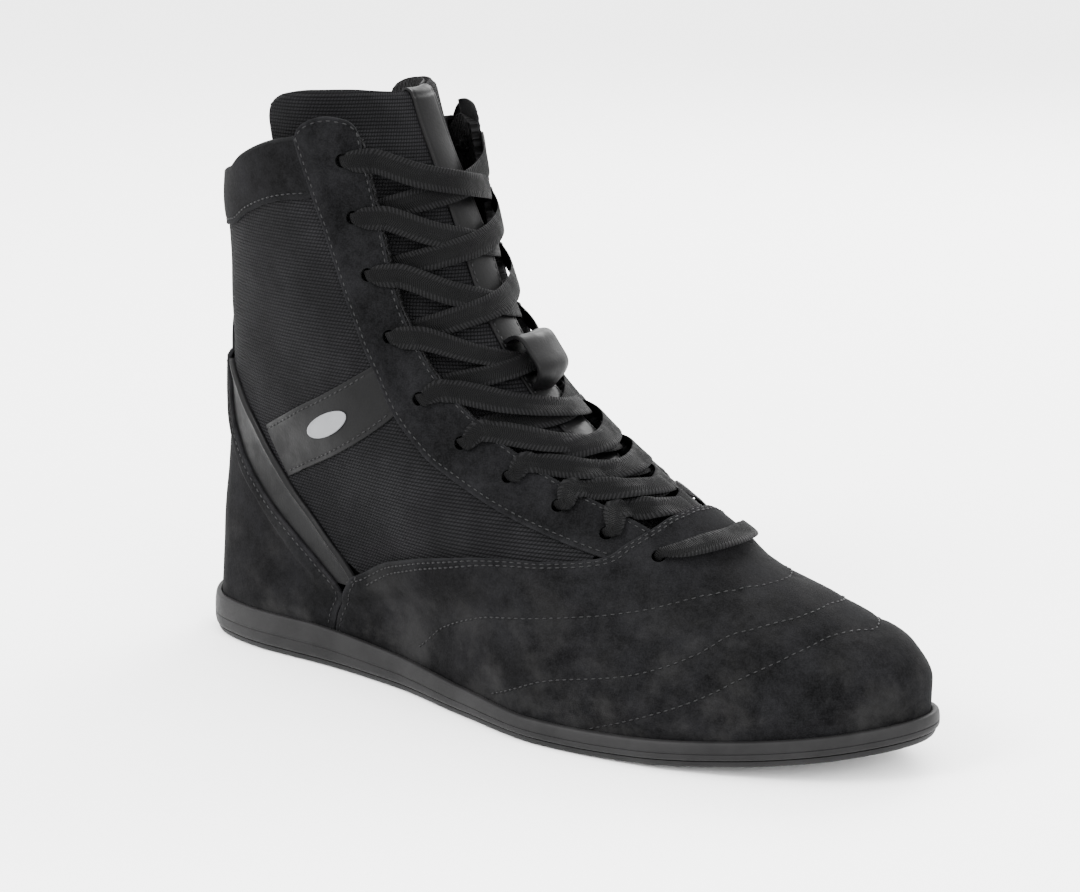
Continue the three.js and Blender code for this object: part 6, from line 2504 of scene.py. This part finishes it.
    def keeper(self, bench: Workbench) -> None:
        """The lace keeper: an arched leather tab whose ends lie on the strip above and below the lace.

        Args:
            bench: The shared finishes and stitch rows.
        """
        wide, tall, rise, thick = self.loop
        a, b = Seams.throat_places[self.keeper_row], Seams.throat_places[self.keeper_row + 1]
        mid = (a[0] + b[0]) / 2
        foot = float(self.face(np.array(mid), np.array(self.strip_turn))) + self.strip_thickness + 0.9
        here = LAST.point(np.array([mid - 4, mid, mid + 4]), self.strip_turn)
        half = tall / 2 / (np.linalg.norm(here[2] - here[0]) / 8)
        probe = abs(LAST.point(mid, self.strip_turn - 1)[1] - here[1][1])
        share = np.array([-1, -0.985, -0.95, -0.88, -0.6, -0.3, 0, 0.3, 0.6, 0.88, 0.95, 0.985, 1])
        turn = self.strip_turn + share * wide / 2 / probe
        side = np.abs(share)
        rounding = 0.3 * np.maximum(0, (side - 0.93) / 0.07) ** 2
        rows_in, rows_out = [], []
        for s in np.linspace(-1, 1, 49):
            arch = foot + (rise - foot) * math.sqrt(max(0.0, 1 - abs(s) ** 5))
            rows_in.append(LAST.on(mid + s * half * 0.86, turn, arch + 0 * turn))
            spread = 1 + 0.16 * abs(s)
            rows_out.append(
                LAST.on(mid + s * half * 0.86 * spread, turn, arch + thick * (1 - abs(s) ** 9) - rounding)
            )
        uv = np.tile(np.stack([turn * 0.001, 0 * turn], -1), (49, 1))
        made = mesh_object(
            "keeper_tab", np.concatenate([np.concatenate(rows_in), np.concatenate(rows_out)]),
            shell_faces(len(turn) - 1, 48), np.concatenate([uv, uv]),
            {"rim_wear": np.tile(np.exp(-(1 - side) * 8), 98)}
        )
        bench.finishes.dress(made, "strap_leather")
        settle(made, Body.TONGUE, "strap_leather", "lace_keeper")

    def build(self, bench: Workbench) -> None:
        """Builds every piece of the tongue.

        Args:
            bench: The shared finishes and stitch rows.
        """
        self.pad(bench)
        self.strip(bench)
        self.keeper(bench)


# ------------------------------------------------------------------ lacing
@dataclass(frozen=True)
class Knot:
    """A place the lace passes, how wide and thick it is there, and how it is turned."""

    height: float
    turn: float
    offset: float
    width: float = 8.6
    thick: float = 1.0
    roll: float = 0.0


class TightCurve:
    """A centripetal spline through points, each stretch measured from 0 to 1."""

    def __init__(self, points: Array) -> None:
        """Keeps the points, with one more at either end.

        Args:
            points: Points in mm.
        """
        first, last = 2 * points[0] - points[1], 2 * points[-1] - points[-2]
        self.points = np.concatenate([[first], points, [last]])
        self.count = len(points) - 1

    def at(self, place: float) -> Array:
        """The point at a place, counted in stretches.

        Args:
            place: Place along the curve, counted in stretches.

        Returns:
            The point in mm.
        """
        k = min(self.count - 1, int(place))
        s = place - k
        p = self.points[k : k + 4]
        t = [max(1e-4, float(np.linalg.norm(p[i + 1] - p[i])) ** 0.5) for i in range(3)]
        t = [t[1] if i != 1 and t[i] < 1e-4 else t[i] for i in range(3)]
        a = (p[1] - p[0]) / t[0] - (p[2] - p[0]) / (t[0] + t[1]) + (p[2] - p[1]) / t[1]
        b = (p[2] - p[1]) / t[1] - (p[3] - p[1]) / (t[1] + t[2]) + (p[3] - p[2]) / t[2]
        a, b = a * t[1], b * t[1]
        s2, s3 = s * s, s * s * s
        return (
            p[1] + a * s + (-3 * p[1] + 3 * p[2] - 2 * a - b) * s2 + (2 * p[1] - 2 * p[2] + a + b) * s3
        )


@dataclass
class Lacing:
    """The flat lace, laced over all eyelets, and its aglets."""

    width: float = 8.6
    thickness: float = 1.0
    step: float = 1.3
    gathered: tuple[float, float] = (3.2, 1.3)
    crown: float = 1.6
    kept: float = 7.2
    aglet: tuple[float, float] = (18.0, 3.0)
    top_strand: tuple[int, ...] = (1, -1, -1, -1, 1, -1, -1, 1, 1)

    def __post_init__(self) -> None:
        """Works out how far the lace lies from the last in each stretch."""
        half = self.thickness / 2
        self.stay_outer = LAYERS.base + LAYERS.suede
        self.inside = LAYERS.lining_face - 0.7 - half
        self.outside = self.stay_outer + LAYERS.gap + 0.1 + half
        self.bar = LAYERS.over_stay + LAYERS.suede + LAYERS.gap + 0.7 + half
        self.low = (
            LAYERS.lining_face - LAYERS.tongue_gap + LAYERS.tongue_rise + 0.7 + 5 * LAYERS.clear + half
        )
        self.high = self.low + self.thickness + 2 * LAYERS.clear

    @staticmethod
    def _signed(side: int, angle: float) -> float:
        """The angle on one side, counted through the toe."""
        return angle if side > 0 else 360 - angle

    def _eyelet(self, row: int, side: int, outside: float) -> list[Knot]:
        """Down through an eyelet from outside.

        Args:
            row: Number of the eyelet row, 0 at the top.
            side: Sign of the side, 1 for the inner.
            outside: Offset of the lace on the outer face in mm.

        Returns:
            The knots in order.
        """
        height, angle = Seams.eyelets[row]
        wide, thick = self.gathered
        inner = (LAYERS.lining_face + self.stay_outer) / 2 - 0.6
        rows = (
            (2.2, outside + 0.1, 4.8, 1.2), (0.7, outside - 0.2, wide, thick),
            (-0.3, outside * 0.35 - 0.6, wide, thick), (-0.2, inner, wide, thick),
            (0.3, self.inside + 0.5, wide, thick), (1.8, self.inside - 0.1, 3.8, 1.2)
        )
        return [Knot(height, self._signed(side, angle + da), off, w, t) for da, off, w, t in rows]

    def _crossing(self, row: int, side: int) -> list[Knot]:
        """Across the throat to the next eyelet up on the other side.

        Args:
            row: Number of the eyelet row, 0 at the top.
            side: Sign of the side it starts on, 1 for the inner.

        Returns:
            The knots in order.
        """
        low_h, low_a = Seams.throat_places[row]
        high_h, high_a = Seams.throat_places[row - 1]
        hole_h, hole_a = Seams.eyelets[row]
        next_h, next_a = Seams.eyelets[row - 1]
        above = self.top_strand[row - 1] == side
        middle = (self.high if above else self.low) + self.crown * float(ramp(row, 5, 7))
        height = (low_h + high_h) / 2
        here, there = side, -side
        wide = self.kept if row == Tongue.keeper_row + 1 else self.width
        return [
            Knot(
                blend(hole_h, low_h, 0.6) + 1, self._signed(here, blend(hole_a, low_a, 0.5)), self.inside,
                5.8
            ),
            Knot(low_h + 1.5, self._signed(here, low_a + 1.5), self.inside + 0.1, 7.8),
            Knot(
                blend(low_h, height, 0.5) + 1, self._signed(here, blend(low_a, 180, 0.45)),
                middle - (1.1 if above else 0.9), wide
            ),
            Knot(height, 180, middle, wide),
            Knot(
                blend(high_h, height, 0.5) - 1, self._signed(there, blend(high_a, 180, 0.45)),
                middle + (0.5 if above else 0.9), wide
            ),
            Knot(high_h - 1.3, self._signed(there, high_a + 3.0), self.outside - 1.9, 8.4),
            Knot(high_h - 1.5, self._signed(there, high_a - 0.5), self.outside - 1.0, 8.2),
            Knot(high_h - 1.6, self._signed(there, high_a - 3.0), self.outside - 0.7, 8.0),
            Knot(
                blend(high_h, next_h, 0.6) - 0.5, self._signed(there, blend(high_a, next_a, 0.6)),
                self.outside - 0.2, 7.4
            )
        ]

    def _half(self, side: int) -> list[Knot]:
        """One half of the lace, from the lowest eyelet up to its tucked end.

        Args:
            side: Sign of the side it starts on, 1 for the inner.

        Returns:
            The knots in order.
        """
        knots, now = self._eyelet(9, side, self.bar), side
        for row in range(9, 0, -1):
            knots += self._crossing(row, now)
            now = -now
            knots += self._eyelet(row - 1, now, self.outside)
        height, angle = Seams.eyelets[0]
        knots.append(Knot(height - 2, self._signed(now, angle - 3), self.inside, 4.5, self.thickness, 0.35))
        knots.append(Knot(height - 8, self._signed(now, angle - 8), self.inside, 6, self.thickness, 0.75))
        for drop, shift in ((18, -17), (34, -26), (52, -33), (68, -38)):
            end = drop > 60
            knots.append(
                Knot(height - drop, self._signed(now, angle + shift), self.inside - (1.2 if end else 0.3),
                     3.0 if end else self.width, 2.0 if end else self.thickness, 1.0)
            )
        return knots

    def knots(self) -> list[Knot]:
        """Every knot from one tucked end to the other.

        Returns:
            The knots in order.
        """
        height, angle = Seams.eyelets[9]
        bar = [
            Knot(height + 0.3, self._signed(-1, angle + 7), self.bar + 0.1, 6.8),
            Knot(height + 1.2, 192, self.bar), Knot(height + 1.4, 180, self.bar),
            Knot(height + 1.2, 168, self.bar),
            Knot(height + 0.3, self._signed(1, angle + 7), self.bar + 0.1, 6.8)
        ]
        return [*reversed(self._half(-1)), *bar, *self._half(1)]

    @staticmethod
    def _frame(knot: Knot) -> tuple[Array, Array, Array]:
        """Point, upward and round direction at a knot.

        Args:
            knot: The knot.

        Returns:
            The point in mm, the upward direction and the round direction.
        """
        up = LAST.point(knot.height + 1, knot.turn) - LAST.point(knot.height - 1, knot.turn)
        around = LAST.point(knot.height, knot.turn + 1) - LAST.point(knot.height, knot.turn - 1)
        up, around = up / np.linalg.norm(up), around / np.linalg.norm(around)
        point = LAST.point(knot.height, knot.turn) + LAST.normal(knot.height, knot.turn) * knot.offset
        return point, up, -around if around[1] > 0 else around

    def build(self, bench: Workbench) -> None:
        """The lace and its aglets.

        Args:
            bench: The shared finishes and stitch rows.
        """
        knots = self.knots()
        frames = [self._frame(knot) for knot in knots]
        curve = TightCurve(np.array([frame[0] for frame in frames]))
        places = [0.0]
        for k in range(len(knots) - 1):
            pieces = max(1, math.ceil(float(np.linalg.norm(frames[k + 1][0] - frames[k][0])) / self.step))
            places += [k + p / pieces for p in range(1, pieces + 1)]
        spine, across, through, wide, thick = [], [], [], [], []
        before = None
        for s in places:
            k = min(len(knots) - 2, int(s))
            f = s - k
            tangent = curve.at(min(curve.count, s + 0.2)) - curve.at(max(0.0, s - 0.2))
            tangent /= np.linalg.norm(tangent)
            roll = blend(knots[k].roll, knots[k + 1].roll, f) * math.pi / 2
            up, around = (blend(frames[k][n], frames[k + 1][n], f) for n in (1, 2))
            side = up * math.cos(roll) + around * math.sin(roll)
            side = side - tangent * side.dot(tangent)
            side /= np.linalg.norm(side)
            if before is not None and before.dot(side) < 0:
                side = -side
            before = side
            spine.append((curve.at(s) + np.asarray(LAST.shift)) * MM)
            across.append(side)
            through.append(np.cross(tangent, side))
            wide.append(blend(knots[k].width, knots[k + 1].width, f) / 2 * MM)
            thick.append(blend(knots[k].thick, knots[k + 1].thick, f) / 2 * MM)
        spine = np.array(spine)
        run = np.concatenate([[0], np.cumsum(np.linalg.norm(np.diff(spine, axis=0), axis=1))])
        wide, thick = (np.convolve(np.pad(a, 2, "edge"), np.ones(5) / 5, "valid") for a in (wide, thick))
        values = {
            "spine": [spine], "across": [np.array(across)], "through": [np.array(through)],
            "half_width": [wide], "half_thickness": [thick], "run": [run]
        }
        made = path_object("flat_lace", [spine], values)
        tape = {"Sides": 16, "Material": bench.finishes.made["lace_tape"]}
        apply_tree(made, Trees.get("flat_tape"), tape, crease=70.0)
        log.info("lace length %.2f m", run[-1])
        settle(made, Body.BOOT, "lace_cord", "lace")
        ends = (("aglet_left", 0.0, 1.2), ("aglet_right", curve.count, curve.count - 1.2))
        for name, end, inner in ends:
            way = curve.at(end) - curve.at(inner)
            self._aglet(bench, name, way / np.linalg.norm(way))

    def _aglet(self, bench: Workbench, name: str, way: Array) -> None:
        """A rolled tip with a crimped mouth and a rounded end.

        Args:
            bench: The shared finishes and stitch rows.
            name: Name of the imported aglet.
            way: Direction in which the lace ends.
        """
        low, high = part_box(name)
        centre = np.array((low + high) / 2) / MM - np.asarray(LAST.shift)
        long, across = self.aglet
        side = np.cross(way, [0.0, 0.0, 1.0])
        side /= np.linalg.norm(side)
        other = np.cross(way, side)
        profile = [(0.0, 0.3), (0.0, 0.9), (0.25, 0.985), (0.8, 1.0), (2.0, 1.0), (2.25, 0.9), (2.5, 1.0)]
        profile += [
            (3.2, 1.0), (3.45, 0.9), (3.7, 1.0), (9.0, 0.97), (15.5, 0.94), (17.2, 0.86), (17.8, 0.6),
            (18, 0.2)
        ]
        around = 24
        turn = np.arange(around) * 2 * math.pi / around
        rings = []
        for along, share in profile:
            middle = centre + way * (along - long / 2)
            ring = np.outer(np.cos(turn), side) + np.outer(np.sin(turn), other)
            rings.append((middle + ring * share * across / 2 + np.asarray(LAST.shift)) * MM)
        last = around * (len(profile) - 1)
        faces = grid_faces(around, len(profile) - 1, 0, wrap=True)
        faces += [tuple(range(around)), tuple(reversed(range(last, last + around)))]
        flat = np.concatenate(rings)
        made = mesh_object(name.replace("aglet", "lace_tip"), flat, faces, flat[:, :2])
        bench.finishes.dress(made, "aglet_plastic")
        settle(made, Body.BOOT, "aglet_plastic", name)


# ------------------------------------------------------------------ hidden parts and studio
def dress_hidden(bench: Workbench, nodes: dict[str, bpy.types.Object]) -> None:
    """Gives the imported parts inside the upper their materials.

    Args:
        bench: The shared finishes.
        nodes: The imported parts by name.
    """
    for name, finish in {
        "insole_board": "insole_board", "heel_counter": "stiffener_sheet", "toe_puff": "stiffener_sheet"
    }.items():
        bench.finishes.dress(nodes[name], finish)
        log.info("%s: packed shape kept", name)


@dataclass
class Studio:
    """Pale floor, soft lights and the camera."""

    eye: tuple[float, float, float] = (0.6048, -0.7144, 0.3148)
    look: tuple[float, float, float] = (0.01225, -0.00828, 0.085)
    lens: float = 93.33
    shift: tuple[float, float] = (-0.0120, 0.0157)

    def camera(self) -> None:
        """The camera, at the height and angle the boot is best known from."""
        data = bpy.data.cameras.new("camera")
        data.lens, data.sensor_width = self.lens, 36.0
        data.shift_x, data.shift_y = self.shift
        data.clip_start, data.clip_end = 0.01, 50.0
        made = bpy.data.objects.new("camera", data)
        bpy.context.scene.collection.objects.link(made)
        made.location = self.eye
        way = Vector(self.look) - Vector(self.eye)
        made.rotation_euler = way.to_track_quat("-Z", "Y").to_euler()
        bpy.context.scene.camera = made

    def light(self, name: str, where: Vector, size: float, power: float) -> None:
        """A large soft lamp that shines at the boot.

        Args:
            name: Name of the lamp.
            where: Place of the lamp in metres.
            size: Its diameter in metres.
            power: Its power in watts.
        """
        data = bpy.data.lights.new(name, "AREA")
        data.shape, data.size, data.energy = "DISK", size, power
        made = bpy.data.objects.new(name, data)
        bpy.context.scene.collection.objects.link(made)
        made.location = where
        made.rotation_euler = (Vector((0, 0, 0.09)) - where).to_track_quat("-Z", "Y").to_euler()

    def floor(self) -> None:
        """A plain pale floor."""
        mesh = bpy.data.meshes.new("floor")
        size = 12.0
        mesh.from_pydata(
            [(-size, -size, 0), (size, -size, 0), (size, size, 0), (-size, size, 0)], [], [(0, 1, 2, 3)]
        )
        made = bpy.data.objects.new("floor", mesh)
        bpy.context.scene.collection.objects.link(made)
        material = bpy.data.materials.new("floor_paint")
        material.use_nodes = True
        shader = material.node_tree.nodes["Principled BSDF"]
        albedo, roughness = 0.95, 0.85
        shader.inputs["Base Color"].default_value = (albedo, albedo, albedo, 1)
        shader.inputs["Roughness"].default_value = roughness
        mesh.materials.append(material)

    def build(self) -> None:
        """Sets up the whole studio."""
        self.camera()
        self.floor()
        world = bpy.data.worlds.new("studio")
        world.use_nodes = True
        world.node_tree.nodes["Background"].inputs[0].default_value = (1, 1, 1, 1)
        world.node_tree.nodes["Background"].inputs[1].default_value = 4.2
        bpy.context.scene.world = world
        self.light("key", Vector((-0.5, -1.3, 1.35)), 0.8, 50)
        self.light("fill", Vector((1.6, -0.4, 0.9)), 1.1, 28)
        self.light("back", Vector((-0.3, 1.3, 1.1)), 0.9, 34)


def main() -> None:
    """Builds the studio and every sub-assembly in order."""
    logging.basicConfig(level=logging.INFO, format="%(name)s: %(message)s", force=True)
    Studio().build()
    bench = Workbench()
    Sole().build(bench)
    Upper().build(bench)
    Tongue().build(bench)
    Lacing().build(bench)
    dress_hidden(bench, frame["nodes"])
    bench.stitch()
    for helper in (*bench.holes.values(), bench.all_holes):
        bpy.data.objects.remove(helper)


if __name__ == "__main__":
    main()
